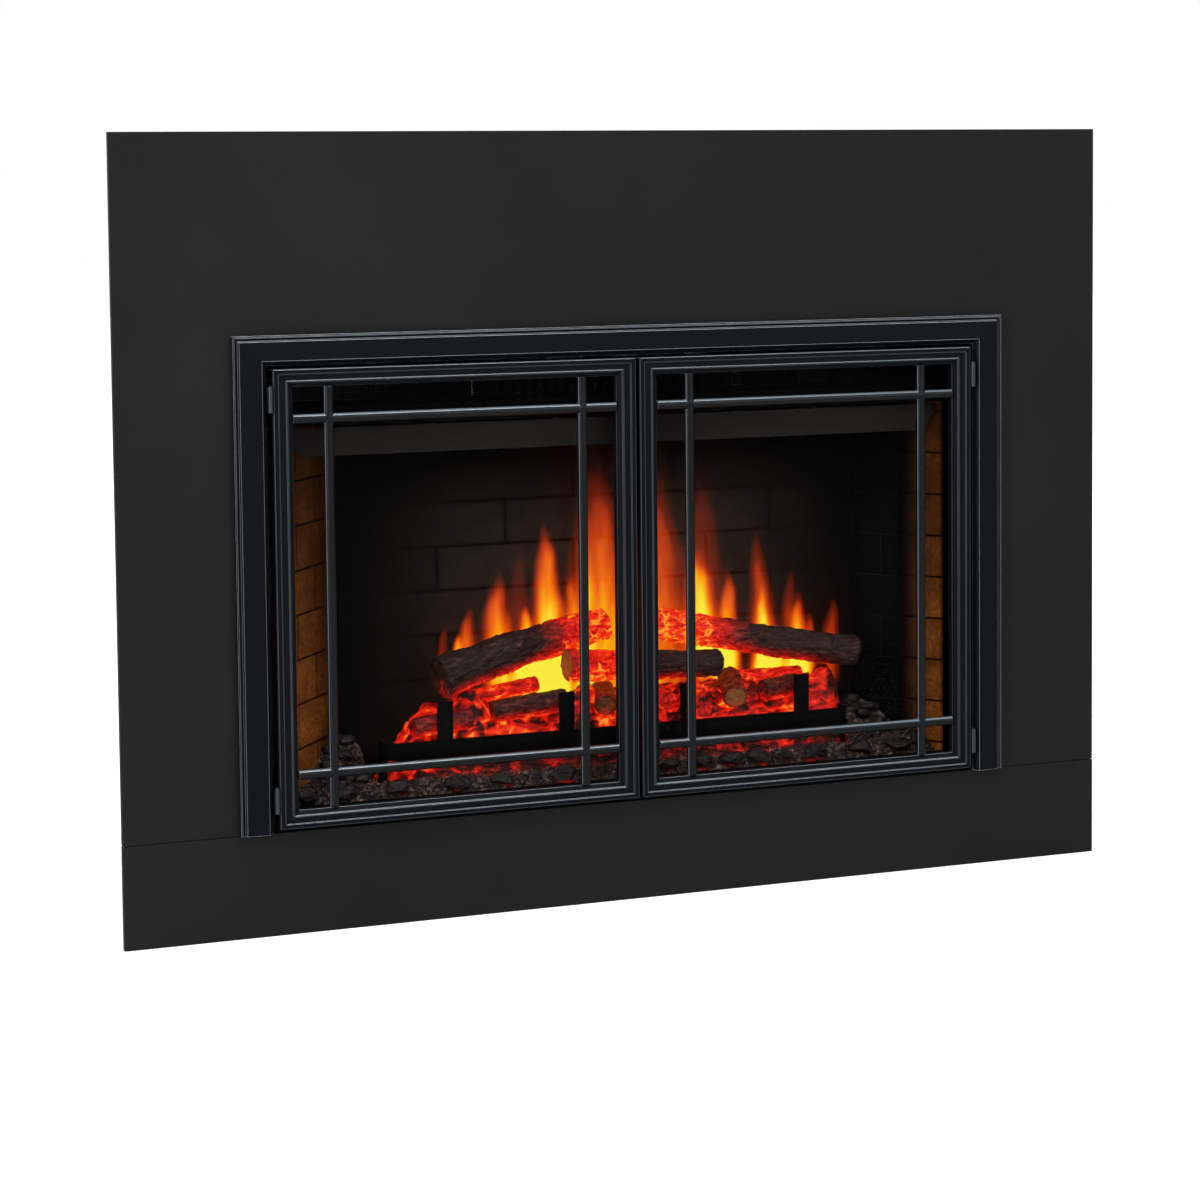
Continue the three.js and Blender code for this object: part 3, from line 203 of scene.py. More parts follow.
def makeLight():
    for name, lamp in lamps.items():
        data = bpy.data.lights.new(name, "AREA")
        data.shape = "RECTANGLE"
        data.size, data.size_y = lamp["size"]
        data.energy = lamp["watts"]
        made = bpy.data.objects.new(name, data)
        made.location = lamp["place"]
        aim = Vector(lamp["aim"]) - Vector(lamp["place"])
        made.rotation_euler = aim.to_track_quat("-Z", "Y").to_euler()
        bpy.context.scene.collection.objects.link(made)
    world = bpy.data.worlds.new("studio")
    world.use_nodes = True
    bpy.context.scene.world = world
    tree = world.node_tree
    path = addNode(tree, "ShaderNodeLightPath")
    seen = addNode(tree, "ShaderNodeMath", {0: path.outputs["Is Camera Ray"],
                   1: path.outputs["Is Glossy Ray"]}, operation="MAXIMUM")
    shown = addNode(tree, "ShaderNodeMath", {0: seen.outputs[0],
                    1: path.outputs["Is Transmission Ray"]}, operation="MAXIMUM")
    level = addNode(tree, "ShaderNodeMapRange", {"Value": shown.outputs[0], "To Min": ambient,
                    "To Max": 1.0})
    sky = tree.nodes["Background"]
    sky.inputs["Color"].default_value = (1, 1, 1, 1)
    tree.links.new(level.outputs["Result"], sky.inputs["Strength"])


floor = {"reach": 14, "below": 0.0005, "fill": [(1.2, 0.42), (3.5, 1.0)]}  # metres from the middle, strength


def makeFloor():
    # white paper sweep: it keeps the soft shadow and shows white to the camera
    made, tree, principled = newMaterial("white paper floor", Roughness=0.9)
    principled.inputs["Base Color"].default_value = colour("#f4f4f4")
    principled.inputs["Specular IOR Level"].default_value = 0.0
    path = addNode(tree, "ShaderNodeLightPath")
    place = addNode(tree, "ShaderNodeTexCoord").outputs["Object"]
    away = addNode(tree, "ShaderNodeVectorMath", {0: place}, operation="LENGTH")
    # the lamps reach less far out, so the paper makes up for it there
    (near, low), (far, high) = floor["fill"]
    level = addNode(tree, "ShaderNodeMapRange", {"Value": away.outputs["Value"], "From Min": near,
                    "From Max": far, "To Min": low, "To Max": high})
    glow = addNode(tree, "ShaderNodeMath", {0: path.outputs["Is Camera Ray"], 1: level.outputs["Result"]},
                   operation="MULTIPLY")
    principled.inputs["Emission Color"].default_value = (1, 1, 1, 1)
    tree.links.new(glow.outputs[0], principled.inputs["Emission Strength"])
    reach = floor["reach"]
    corners = [(-reach, -reach, 0), (reach, -reach, 0), (reach, reach, 0), (-reach, reach, 0)]
    paper = toMesh("floor", corners, [(0, 1, 2, 3)], made)
    paper.location.z = -floor["below"]


bpy.context.scene.view_settings.view_transform = "Standard"
makeCamera()
makeLight()
makeFloor()
print("camera, light and floor are set")

# finishes


def paintedSteel(name, code, roughness, grain, specular, mottle=0.12):
    # powder coat: baked polyester grains give a faint orange peel and a soft broken sheen
    made, tree, principled = newMaterial(name, Roughness=roughness)
    principled.inputs["Specular IOR Level"].default_value = specular
    place = addNode(tree, "ShaderNodeTexCoord").outputs["Object"]
    cloud = addNode(tree, "ShaderNodeTexNoise", {"Vector": place, "Scale": 4.5, "Detail": 3.0})
    tone = addNode(tree, "ShaderNodeMapRange", {"Value": cloud.outputs["Fac"], "From Min": 0.3,
                   "From Max": 0.7, "To Min": 1 - mottle, "To Max": 1 + mottle})
    base = addNode(tree, "ShaderNodeVectorMath", {0: colour(code)[:3], "Scale": tone.outputs["Result"]},
                   operation="SCALE")
    tree.links.new(base.outputs["Vector"], principled.inputs["Base Color"])
    # real grain is about 0.4 mm; it is drawn at grain metres so that it shows
    peel = addNode(tree, "ShaderNodeTexNoise", {"Vector": place, "Scale": 1 / grain, "Detail": 2.0})
    rough = addNode(tree, "ShaderNodeMapRange", {"Value": peel.outputs["Fac"], "To Min": roughness - 0.07,
                    "To Max": roughness + 0.07})
    tree.links.new(rough.outputs["Result"], principled.inputs["Roughness"])
    bump = addNode(tree, "ShaderNodeBump", {"Height": peel.outputs["Fac"], "Strength": 0.18,
                   "Distance": grain * 0.12})
    tree.links.new(bump.outputs["Normal"], principled.inputs["Normal"])
    return made


def zincSheet():
    # hot-dip zinc on sheet steel: grey metal with spangles about 8 mm across
    made, tree, principled = newMaterial("galvanised steel", Metallic=1.0)
    place = addNode(tree, "ShaderNodeTexCoord").outputs["Object"]
    spangle = addNode(tree, "ShaderNodeTexVoronoi", {"Vector": place, "Scale": 1 / 0.008})
    tone = addNode(tree, "ShaderNodeValToRGB", {"Fac": spangle.outputs["Color"]},
                   stops=[(0.0, "#93979a"), (1.0, "#a9adb0")])
    tree.links.new(tone.outputs["Color"], principled.inputs["Base Color"])
    rough = addNode(tree, "ShaderNodeMapRange", {"Value": spangle.outputs["Color"], "To Min": 0.38,
                    "To Max": 0.58})
    tree.links.new(rough.outputs["Result"], principled.inputs["Roughness"])
    return made


def plainMetal(name, code, roughness, streak):
    # rolled or turned metal: fine lines along the way it was worked
    made, tree, principled = newMaterial(name, Metallic=1.0)
    place = addNode(tree, "ShaderNodeTexCoord").outputs["Object"]
    along = addNode(tree, "ShaderNodeMapping", {"Vector": place, "Scale": streak})
    lines = addNode(tree, "ShaderNodeTexNoise", {"Vector": along.outputs["Vector"], "Scale": 1.0,
                    "Detail": 4.0})
    tone = addNode(tree, "ShaderNodeMapRange", {"Value": lines.outputs["Fac"], "To Min": 0.8,
                   "To Max": 1.15})
    base = addNode(tree, "ShaderNodeVectorMath", {0: colour(code)[:3], "Scale": tone.outputs["Result"]},
                   operation="SCALE")
    tree.links.new(base.outputs["Vector"], principled.inputs["Base Color"])
    rough = addNode(tree, "ShaderNodeMapRange", {"Value": lines.outputs["Fac"],
                    "To Min": roughness - 0.08, "To Max": roughness + 0.1})
    tree.links.new(rough.outputs["Result"], principled.inputs["Roughness"])
    return made


def mouldedPlastic(name, code, roughness, grain):
    # moulded plastic: fine spark-eroded grain on an even colour
    made, tree, principled = newMaterial(name, Roughness=roughness)
    place = addNode(tree, "ShaderNodeTexCoord").outputs["Object"]
    speck = addNode(tree, "ShaderNodeTexNoise", {"Vector": place, "Scale": 1 / grain, "Detail": 2.0})
    tone = addNode(tree, "ShaderNodeMapRange", {"Value": speck.outputs["Fac"], "To Min": 0.88,
                   "To Max": 1.12})
    base = addNode(tree, "ShaderNodeVectorMath", {0: colour(code)[:3], "Scale": tone.outputs["Result"]},
                   operation="SCALE")
    tree.links.new(base.outputs["Vector"], principled.inputs["Base Color"])
    bump = addNode(tree, "ShaderNodeBump", {"Height": speck.outputs["Fac"], "Strength": 0.2,
                   "Distance": grain * 0.15})
    tree.links.new(bump.outputs["Normal"], principled.inputs["Normal"])
    return made


def toughenedGlass():
    # clear toughened glass: nearly all light goes through, and a thin gloss lies on it
    made, tree, principled = newMaterial("toughened glass", Roughness=0.03, Alpha=0.03)
    principled.inputs["Base Color"].default_value = colour("#020303")
    principled.inputs["Specular IOR Level"].default_value = 0.32
    place = addNode(tree, "ShaderNodeTexCoord").outputs["Object"]
    wave = addNode(tree, "ShaderNodeTexNoise", {"Vector": place, "Scale": 6.0, "Detail": 1.0})
    # roller wave of the toughening, about 150 mm long and far under a tenth of a millimetre
    bump = addNode(tree, "ShaderNodeBump", {"Height": wave.outputs["Fac"], "Strength": 0.05,
                   "Distance": 0.0004})
    tree.links.new(bump.outputs["Normal"], principled.inputs["Normal"])
    return made


brick = {"course": 46 * mm, "firstJoint": 133.5 * mm, "wide": 71.4 * mm, "jointShift": -1.9 * mm,
         "joint": 1.6 * mm, "litFrom": 22 * mm, "leftDeep": 150 * mm, "rightDeep": 64 * mm,
         "litUp": [(0.2, 1.0), (0.5, 0.22)], "glow": 0.4}


def fibreBrick():
    # moulded fibre board painted as amber brick: sandy faces and dark joints, with painted light at the front
    # only that also glows
    made, tree, principled = newMaterial("moulded fibre brick", Roughness=0.85)
    principled.inputs["Specular IOR Level"].default_value = 0.04
    place = addNode(tree, "ShaderNodeTexCoord").outputs["Object"]
    axes = addNode(tree, "ShaderNodeSeparateXYZ", {"Vector": place})
    sand = addNode(tree, "ShaderNodeTexNoise", {"Vector": place, "Scale": 1 / 0.004, "Detail": 4.0})
    patch = addNode(tree, "ShaderNodeTexNoise", {"Vector": place, "Scale": 1 / 0.03, "Detail": 3.0})
    both = addNode(tree, "ShaderNodeMath", {0: sand.outputs["Fac"], 1: patch.outputs["Fac"]},
                   operation="ADD")
    half = addNode(tree, "ShaderNodeMath", {0: both.outputs[0], 1: 0.5}, operation="MULTIPLY")
    tone = addNode(tree, "ShaderNodeValToRGB", {"Fac": half.outputs[0]},
                   stops=[(0.34, "#3a1e06"), (0.5, "#562d0c"), (0.64, "#704014")])
    # joints are painted darker; the brick texture works in X and Y, so depth and height go there
    flat = addNode(tree, "ShaderNodeCombineXYZ", {"X": axes.outputs["Y"], "Y": axes.outputs["Z"]})
    moved = addNode(tree, "ShaderNodeMapping", {"Vector": flat.outputs["Vector"],
                    "Location": (brick["jointShift"], -brick["firstJoint"], 0.0)})
    joint = addNode(tree, "ShaderNodeTexBrick",
                    {"Vector": moved.outputs["Vector"], "Scale": 1.0, "Brick Width": brick["wide"],
                     "Row Height": brick["course"], "Mortar Size": brick["joint"], "Mortar Smooth": 0.5,
                     "Color1": (1, 1, 1, 1), "Color2": (0.8, 0.8, 0.8, 1), "Mortar": (0.1, 0.08, 0.07, 1)},
                    offset=0.5)
    # painted light and shade: the lamps' light is painted on the front of the panel and dies out towards the
    # back and the top
    reach = addNode(tree, "ShaderNodeMapRange",
                    {"Value": axes.outputs["X"], "From Min": -0.3, "From Max": 0.3,
                     "To Min": assemblyY + brick["leftDeep"], "To Max": assemblyY + brick["rightDeep"]})
    lit = addNode(tree, "ShaderNodeMapRange",
                  {"Value": axes.outputs["Y"], "From Min": assemblyY + brick["litFrom"],
                   "From Max": reach.outputs["Result"], "To Min": 1.0, "To Max": 0.0},
                  interpolation_type="SMOOTHERSTEP")
    (foot, full), (head, faint) = brick["litUp"]
    high = addNode(tree, "ShaderNodeMapRange", {"Value": axes.outputs["Z"], "From Min": foot,
                   "From Max": head, "To Min": full, "To Max": faint})
    fade = addNode(tree, "ShaderNodeMath", {0: lit.outputs["Result"], 1: high.outputs["Result"]},
                   operation="MULTIPLY")
    jointed = addNode(tree, "ShaderNodeVectorMath", {0: tone.outputs["Color"], 1: joint.outputs["Color"]},
                      operation="MULTIPLY")
    shade = addNode(tree, "ShaderNodeVectorMath", {0: jointed.outputs["Vector"], "Scale": fade.outputs[0]},
                    operation="SCALE")
    tree.links.new(shade.outputs["Vector"], principled.inputs["Base Color"])
    # painted glow: the painted-lit brick colour is also given out as light
    tree.links.new(shade.outputs["Vector"], principled.inputs["Emission Color"])
    principled.inputs["Emission Strength"].default_value = brick["glow"]
    bump = addNode(tree, "ShaderNodeBump", {"Height": sand.outputs["Fac"], "Strength": 0.5,
                   "Distance": 0.0006})
    tree.links.new(bump.outputs["Normal"], principled.inputs["Normal"])
    return made


def flameSheet():
    # smoked acrylic with a printed brick pattern: the flames are thrown on it from behind
    made, tree, principled = newMaterial("smoked acrylic with flames", Roughness=0.6)
    principled.inputs["Specular IOR Level"].default_value = 0.02
    place = addNode(tree, "ShaderNodeTexCoord").outputs["Object"]
    axes = addNode(tree, "ShaderNodeSeparateXYZ", {"Vector": place})
    # the brick texture works in X and Y, so the sheet's height goes to Y
    flat = addNode(tree, "ShaderNodeCombineXYZ", {"X": axes.outputs["X"], "Y": axes.outputs["Z"]})
    shifted = addNode(tree, "ShaderNodeMapping", {"Vector": flat.outputs["Vector"],
                      "Location": (0.030, 0.004, 0.0)})
    printed = addNode(tree, "ShaderNodeTexBrick",
                      {"Vector": shifted.outputs["Vector"], "Scale": 1.0, "Brick Width": 155 * mm,
                       "Row Height": 47 * mm, "Mortar Size": 2.2 * mm, "Mortar Smooth": 0.35,
                       "Color1": colour("#211a14"), "Color2": colour("#1b1611"),
                       "Mortar": colour("#080605")}, offset=0.5)
    grime = addNode(tree, "ShaderNodeTexNoise", {"Vector": place, "Scale": 1 / 0.02, "Detail": 5.0})
    tint = addNode(tree, "ShaderNodeMapRange", {"Value": grime.outputs["Fac"], "From Min": 0.3,
                   "From Max": 0.7, "To Min": 0.7, "To Max": 1.25})
    # painted shade: the sheet darkens to black towards its sides and its upper corners, where the light falls
    # off
    edge = addNode(tree, "ShaderNodeAttribute", attribute_name="shown")
    seen = addNode(tree, "ShaderNodeMath", {0: tint.outputs["Result"], 1: edge.outputs["Fac"]},
                   operation="MULTIPLY")
    wall = addNode(tree, "ShaderNodeVectorMath", {0: printed.outputs["Color"], "Scale": seen.outputs[0]},
                   operation="SCALE")
    tree.links.new(wall.outputs["Vector"], principled.inputs["Base Color"])
    heat = addNode(tree, "ShaderNodeAttribute", attribute_name="fireLevel")
    fire = addNode(tree, "ShaderNodeValToRGB", {"Fac": heat.outputs["Fac"]},
                   stops=[(0.0, "#000000"), (0.1, "#190300"), (0.28, "#681400"), (0.46, "#c63a00"),
                          (0.63, "#f46c00"), (0.8, "#ffae04"), (1.0, "#ffee3c")])
    # painted light standing in for the room's light: the print is also given out at 0.3 of its colour, so it
    # shows faintly even where no flame falls
    faint = addNode(tree, "ShaderNodeVectorMath", {0: wall.outputs["Vector"], "Scale": 0.3},
                    operation="SCALE")
    thrown = addNode(tree, "ShaderNodeVectorMath", {0: fire.outputs["Color"], 1: faint.outputs["Vector"]},
                     operation="ADD")
    tree.links.new(thrown.outputs["Vector"], principled.inputs["Emission Color"])
    principled.inputs["Emission Strength"].default_value = 1.0
    return made


def glowingBark():
    # hand-painted cast resin: charred bark with fissures, and red with yellow cracks where it is lit from
    # inside; the red on its underside is painted light from the ember bed
    made, tree, principled = newMaterial("painted resin log", Roughness=0.45)
    principled.inputs["Specular IOR Level"].default_value = 0.1
    place = addNode(tree, "ShaderNodeTexCoord").outputs["Object"]
    warp = addNode(tree, "ShaderNodeTexNoise", {"Vector": place, "Scale": 1 / 0.018, "Detail": 3.0})
    pull = addNode(tree, "ShaderNodeVectorMath", {0: warp.outputs["Color"], "Scale": 0.012},
                   operation="SCALE")
    bent = addNode(tree, "ShaderNodeVectorMath", {0: place, 1: pull.outputs["Vector"]}, operation="ADD")
    grain = addNode(tree, "ShaderNodeMapping", {"Vector": bent.outputs["Vector"],
                    "Scale": (0.35, 1.0, 1.0)})
    fibre = addNode(tree, "ShaderNodeTexNoise", {"Vector": grain.outputs["Vector"], "Scale": 1 / 0.004,
                    "Detail": 6.0, "Roughness": 0.65})
    dark = addNode(tree, "ShaderNodeValToRGB", {"Fac": fibre.outputs["Fac"]},
                   stops=[(0.3, "#050201"), (0.48, "#140906"), (0.6, "#2c1a14"), (0.76, "#5c4034")])
    ends = addNode(tree, "ShaderNodeAttribute", attribute_name="cutEnd")
    rings = addNode(tree, "ShaderNodeAttribute", attribute_name="ringPlace")
    # ten growth rings from the pith to the bark
    wave = addNode(tree, "ShaderNodeMath", {0: rings.outputs["Fac"], 1: 62.0}, operation="MULTIPLY")
    shaken = addNode(tree, "ShaderNodeMath", {0: warp.outputs["Fac"], 1: 5.0, 2: wave.outputs[0]},
                     operation="MULTIPLY_ADD")
    ring = addNode(tree, "ShaderNodeMath", {0: shaken.outputs[0]}, operation="SINE")
    timber = addNode(tree, "ShaderNodeValToRGB", {"Fac": ring.outputs[0]},
                     stops=[(0.0, "#80502c"), (0.6, "#96663a"), (1.0, "#482a14")])
    bark = addNode(tree, "ShaderNodeMix", {"Factor": ends.outputs["Fac"], "A": dark.outputs["Color"],
                   "B": timber.outputs["Color"]}, data_type="RGBA")
    glow = addNode(tree, "ShaderNodeAttribute", attribute_name="glow")
    hot = addNode(tree, "ShaderNodeAttribute", attribute_name="hot")
    blotch = addNode(tree, "ShaderNodeMapRange", {"Value": fibre.outputs["Fac"], "From Min": 0.34,
                     "From Max": 0.66, "To Min": 0.35, "To Max": 1.15})
    warm = addNode(tree, "ShaderNodeMath", {0: glow.outputs["Fac"], 1: blotch.outputs["Result"]},
                   operation="MULTIPLY")
    lit = addNode(tree, "ShaderNodeMath", {0: hot.outputs["Fac"], 1: 0.6, 2: warm.outputs[0]},
                  operation="MULTIPLY_ADD", use_clamp=True)
    fire = addNode(tree, "ShaderNodeValToRGB", {"Fac": lit.outputs[0]},
                   stops=[(0.0, "#000000"), (0.12, "#240100"), (0.32, "#8c0602"), (0.56, "#e01005"),
                          (0.8, "#ff380c"), (1.0, "#ff9c1c")])
    tree.links.new(bark.outputs["Result"], principled.inputs["Base Color"])
    tree.links.new(fire.outputs["Color"], principled.inputs["Emission Color"])
    principled.inputs["Emission Strength"].default_value = 1.0
    bump = addNode(tree, "ShaderNodeBump", {"Height": fibre.outputs["Fac"], "Strength": 0.9,
                   "Distance": 0.0012})
    tree.links.new(bump.outputs["Normal"], principled.inputs["Normal"])
    return made


def translucentEmber():
    # tinted translucent resin over red lamps: deep red, orange where thin, ash on the crests
    made, tree, principled = newMaterial("translucent ember resin", Roughness=0.6)
    principled.inputs["Specular IOR Level"].default_value = 0.1
    place = addNode(tree, "ShaderNodeTexCoord").outputs["Object"]
    warp = addNode(tree, "ShaderNodeTexNoise", {"Vector": place, "Scale": 1 / 0.02, "Detail": 4.0})
    pull = addNode(tree, "ShaderNodeVectorMath", {0: warp.outputs["Color"], "Scale": 0.016},
                   operation="SCALE")
    bent = addNode(tree, "ShaderNodeVectorMath", {0: place, 1: pull.outputs["Vector"]}, operation="ADD")
    lay = addNode(tree, "ShaderNodeMapping", {"Vector": bent.outputs["Vector"], "Scale": (0.4, 1.0, 1.0)})
    grain = addNode(tree, "ShaderNodeTexNoise", {"Vector": lay.outputs["Vector"], "Scale": 1 / 0.007,
                    "Detail": 6.0, "Roughness": 0.62})
    glow = addNode(tree, "ShaderNodeAttribute", attribute_name="glow")
    spread = addNode(tree, "ShaderNodeMapRange", {"Value": grain.outputs["Fac"], "From Min": 0.3,
                     "From Max": 0.7, "To Min": -0.42, "To Max": 0.42})
    heat = addNode(tree, "ShaderNodeMath", {0: glow.outputs["Fac"], 1: spread.outputs["Result"]},
                   operation="ADD", use_clamp=True)
    fire = addNode(tree, "ShaderNodeValToRGB", {"Fac": heat.outputs[0]},
                   stops=[(0.0, "#040000"), (0.22, "#2e0100"), (0.42, "#900501"), (0.6, "#dc1003"),
                          (0.78, "#ff2e07"), (0.92, "#ff6214"), (1.0, "#ffa834")])
    tree.links.new(fire.outputs["Color"], principled.inputs["Emission Color"])
    principled.inputs["Emission Strength"].default_value = 0.9
    char = addNode(tree, "ShaderNodeValToRGB", {"Fac": grain.outputs["Fac"]},
                   stops=[(0.35, "#0e0605"), (0.6, "#2c130d"), (0.8, "#543224")])
    tree.links.new(char.outputs["Color"], principled.inputs["Base Color"])
    bump = addNode(tree, "ShaderNodeBump", {"Height": grain.outputs["Fac"], "Strength": 0.8,
                   "Distance": 0.0015})
    tree.links.new(bump.outputs["Normal"], principled.inputs["Normal"])
    return made


def crushedAsh():
    # crushed brown resin granules, with the ember light that reaches them painted on as a red glow
    made, tree, principled = newMaterial("crushed ash resin", Roughness=0.8)
    principled.inputs["Specular IOR Level"].default_value = 0.12
    place = addNode(tree, "ShaderNodeTexCoord").outputs["Object"]
    grit = addNode(tree, "ShaderNodeTexVoronoi", {"Vector": place, "Scale": 1 / 0.0035})
    dust = addNode(tree, "ShaderNodeTexNoise", {"Vector": place, "Scale": 1 / 0.012, "Detail": 5.0})
    speck = addNode(tree, "ShaderNodeMath", {0: grit.outputs["Color"], 1: dust.outputs["Fac"]},
                    operation="MULTIPLY")
    tone = addNode(tree, "ShaderNodeValToRGB", {"Fac": speck.outputs[0]},
                   stops=[(0.05, "#0d0a09"), (0.3, "#342925"), (0.6, "#766660")])
    tree.links.new(tone.outputs["Color"], principled.inputs["Base Color"])
    glow = addNode(tree, "ShaderNodeAttribute", attribute_name="glow")
    shed = addNode(tree, "ShaderNodeMath", {0: dust.outputs["Fac"], 1: glow.outputs["Fac"]},
                   operation="MULTIPLY")
    fire = addNode(tree, "ShaderNodeValToRGB", {"Fac": shed.outputs[0]},
                   stops=[(0.0, "#000000"), (0.2, "#230402"), (0.45, "#8f1406"), (0.75, "#f03a10")])
    tree.links.new(fire.outputs["Color"], principled.inputs["Emission Color"])
    principled.inputs["Emission Strength"].default_value = 0.9
    bump = addNode(tree, "ShaderNodeBump", {"Height": grit.outputs["Distance"], "Strength": 0.8,
                   "Distance": 0.002})
    tree.links.new(bump.outputs["Normal"], principled.inputs["Normal"])
    return made


def charcoal():
    # dark lacquered coal lumps with bright broken edges
    made, tree, principled = newMaterial("lacquered coal resin", Roughness=0.36)
    principled.inputs["Specular IOR Level"].default_value = 0.16
    place = addNode(tree, "ShaderNodeTexCoord").outputs["Object"]
    chip = addNode(tree, "ShaderNodeTexNoise", {"Vector": place, "Scale": 1 / 0.005, "Detail": 6.0,
                   "Roughness": 0.7})
    tone = addNode(tree, "ShaderNodeValToRGB", {"Fac": chip.outputs["Fac"]},
                   stops=[(0.35, "#050404"), (0.6, "#171210"), (0.8, "#4a403a")])
    tree.links.new(tone.outputs["Color"], principled.inputs["Base Color"])
    # painted light: the glow attribute reddens the coals where the ember light falls on them
    glow = addNode(tree, "ShaderNodeAttribute", attribute_name="glow")
    below = addNode(tree, "ShaderNodeMath", {0: glow.outputs["Fac"], 1: chip.outputs["Fac"]},
                    operation="MULTIPLY")
    fire = addNode(tree, "ShaderNodeValToRGB", {"Fac": below.outputs[0]},
                   stops=[(0.0, "#000000"), (0.15, "#1c0201"), (0.4, "#a01206")])
    tree.links.new(fire.outputs["Color"], principled.inputs["Emission Color"])
    principled.inputs["Emission Strength"].default_value = 0.8
    bump = addNode(tree, "ShaderNodeBump", {"Height": chip.outputs["Fac"], "Strength": 1.0,
                   "Distance": 0.0015})
    tree.links.new(bump.outputs["Normal"], principled.inputs["Normal"])
    return made


surroundPaint = paintedSteel("matte black powder coat", "#191919", 0.6, 0.0018, 0.05)
doorPaint = paintedSteel("satin black door paint", "#0b0d10", 0.42, 0.0022, 0.03, 0.06)
# painted highlights: the arrises get a lighter, glossier paint than the flats, so they show as bright lines
doorArrisHighlight = paintedSteel("satin black paint rubbed on the door's arrises", "#31373b", 0.3, 0.0022,
                         0.25, 0.1)
doorUpperArrisHighlight = paintedSteel("satin black paint worn on the door's upper arrises", "#82898d", 0.26, 0.0022,
                         0.5, 0.1)
trimArrisHighlight = paintedSteel("satin black paint rubbed on the trim's arrises", "#70797f", 0.26, 0.0022,
                         0.5, 0.1)
trimLevelArrisHighlight = paintedSteel("satin black paint worn bright on the trim's level arrises", "#b9c0c4", 0.24,
                           0.0022, 0.6, 0.1)
barPaint = paintedSteel("gloss black enamel on drawn bar", "#090b0d", 0.3, 0.002, 0.12, 0.08)
# painted highlight: a lighter enamel for the bars' upper and left flanks
barFlankHighlight = paintedSteel("black enamel with a painted highlight on the flanks", "#5a6267", 0.24, 0.002, 0.5, 0.08)
chassisPaint = paintedSteel("flat black chassis paint", "#191919", 0.66, 0.0025, 0.06)
insidePaint = paintedSteel("soot black heatproof paint", "#060606", 0.75, 0.0025, 0.01)
valancePaint = paintedSteel("matte black valance paint", "#1c1918", 0.6, 0.002, 0.03)
zinc = zincSheet()
hingeSteel = plainMetal("black zinc hinge steel", "#3a3d40", 0.4, (900, 900, 60))
foil = plainMetal("polished aluminium foil", "#d9dbdc", 0.14, (30, 400, 400))
# painted shade: the fins are darkened so the heater behind the outlet cloth stays dark
fins = plainMetal("aluminium fins darkened as painted shade", "#3e4142", 0.6, (60, 60, 900))
darkPlastic = mouldedPlastic("black polyamide", "#151515", 0.5, 0.001)
redPlastic = mouldedPlastic("red polycarbonate rocker", "#7d1713", 0.28, 0.0012)
boardGreen = mouldedPlastic("green solder resist", "#1d5a38", 0.42, 0.002)
glassPane = toughenedGlass()
brickBoard = fibreBrick()
screenSheet = flameSheet()
logPaint = glowingBark()
emberResin = translucentEmber()
ashResin = crushedAsh()
coalPaint = charcoal()

slots = {
    "surround_black": surroundPaint, "door_black": doorPaint, "chassis_black": chassisPaint,
    "hinge_steel": hingeSteel, "zinc_sheet": zinc, "clear_glass": glassPane, "brick_board": brickBoard,
    "screen_sheet": screenSheet, "ember_resin": emberResin, "ash_resin": ashResin,
    "bark_resin": logPaint, "bright_foil": foil, "element_aluminium": fins, "circuit_board": boardGreen,
    "black_plastic": darkPlastic, "red_plastic": redPlastic,
}
slotOf = {entry["node"]: entry["material_slot"] for entry in frame["record"]["subparts"]}
for name, thing in nodes.items():
    thing.data.materials.clear()
    thing.data.materials.append(slots[slotOf[name]])
nodes["valance"].data.materials[0] = valancePaint
# what stands inside the firebox is painted a deeper black than the outside of the chassis
for name in ("log_grate", "screen_frame", "firebox_floor", "firebox_ceiling", "glass_frame", "outlet_mesh"):
    nodes[name].data.materials[0] = insidePaint
print("finishes are on", len(nodes), "solids")

# pressed and folded steel, with its edges broken

# width of the broken edge in millimetres
edges = {
    "surround_upper_panel": 0.5, "surround_riser_panel": 0.5, "trim_left_rail": 0.45,
    "trim_right_rail": 0.45, "trim_top_rail": 0.45, "log_grate": 0.7, "valance": 0.3,
    "top_cover": 0.4, "chassis_left_side": 0.4, "chassis_right_side": 0.4, "power_rocker": 0.4,
    "rocker_bezel": 0.4,
}
for side in ("left", "right"):
    for piece in ("hinge_stile", "meeting_stile", "top_rail", "bottom_rail"):
        edges[f"{side}_door_{piece}"] = 0.28
    edges[f"{side}_door_grille"] = 0.55
    for place in ("upper", "lower"):
        edges[f"{side}_{place}_hinge_frame_leaf"] = 0.2
        edges[f"{side}_{place}_hinge_door_leaf"] = 0.2
breaking = {"merge": 0.002 * mm, "flat": math.radians(0.6), "sharp": math.radians(24), "steps": 2}


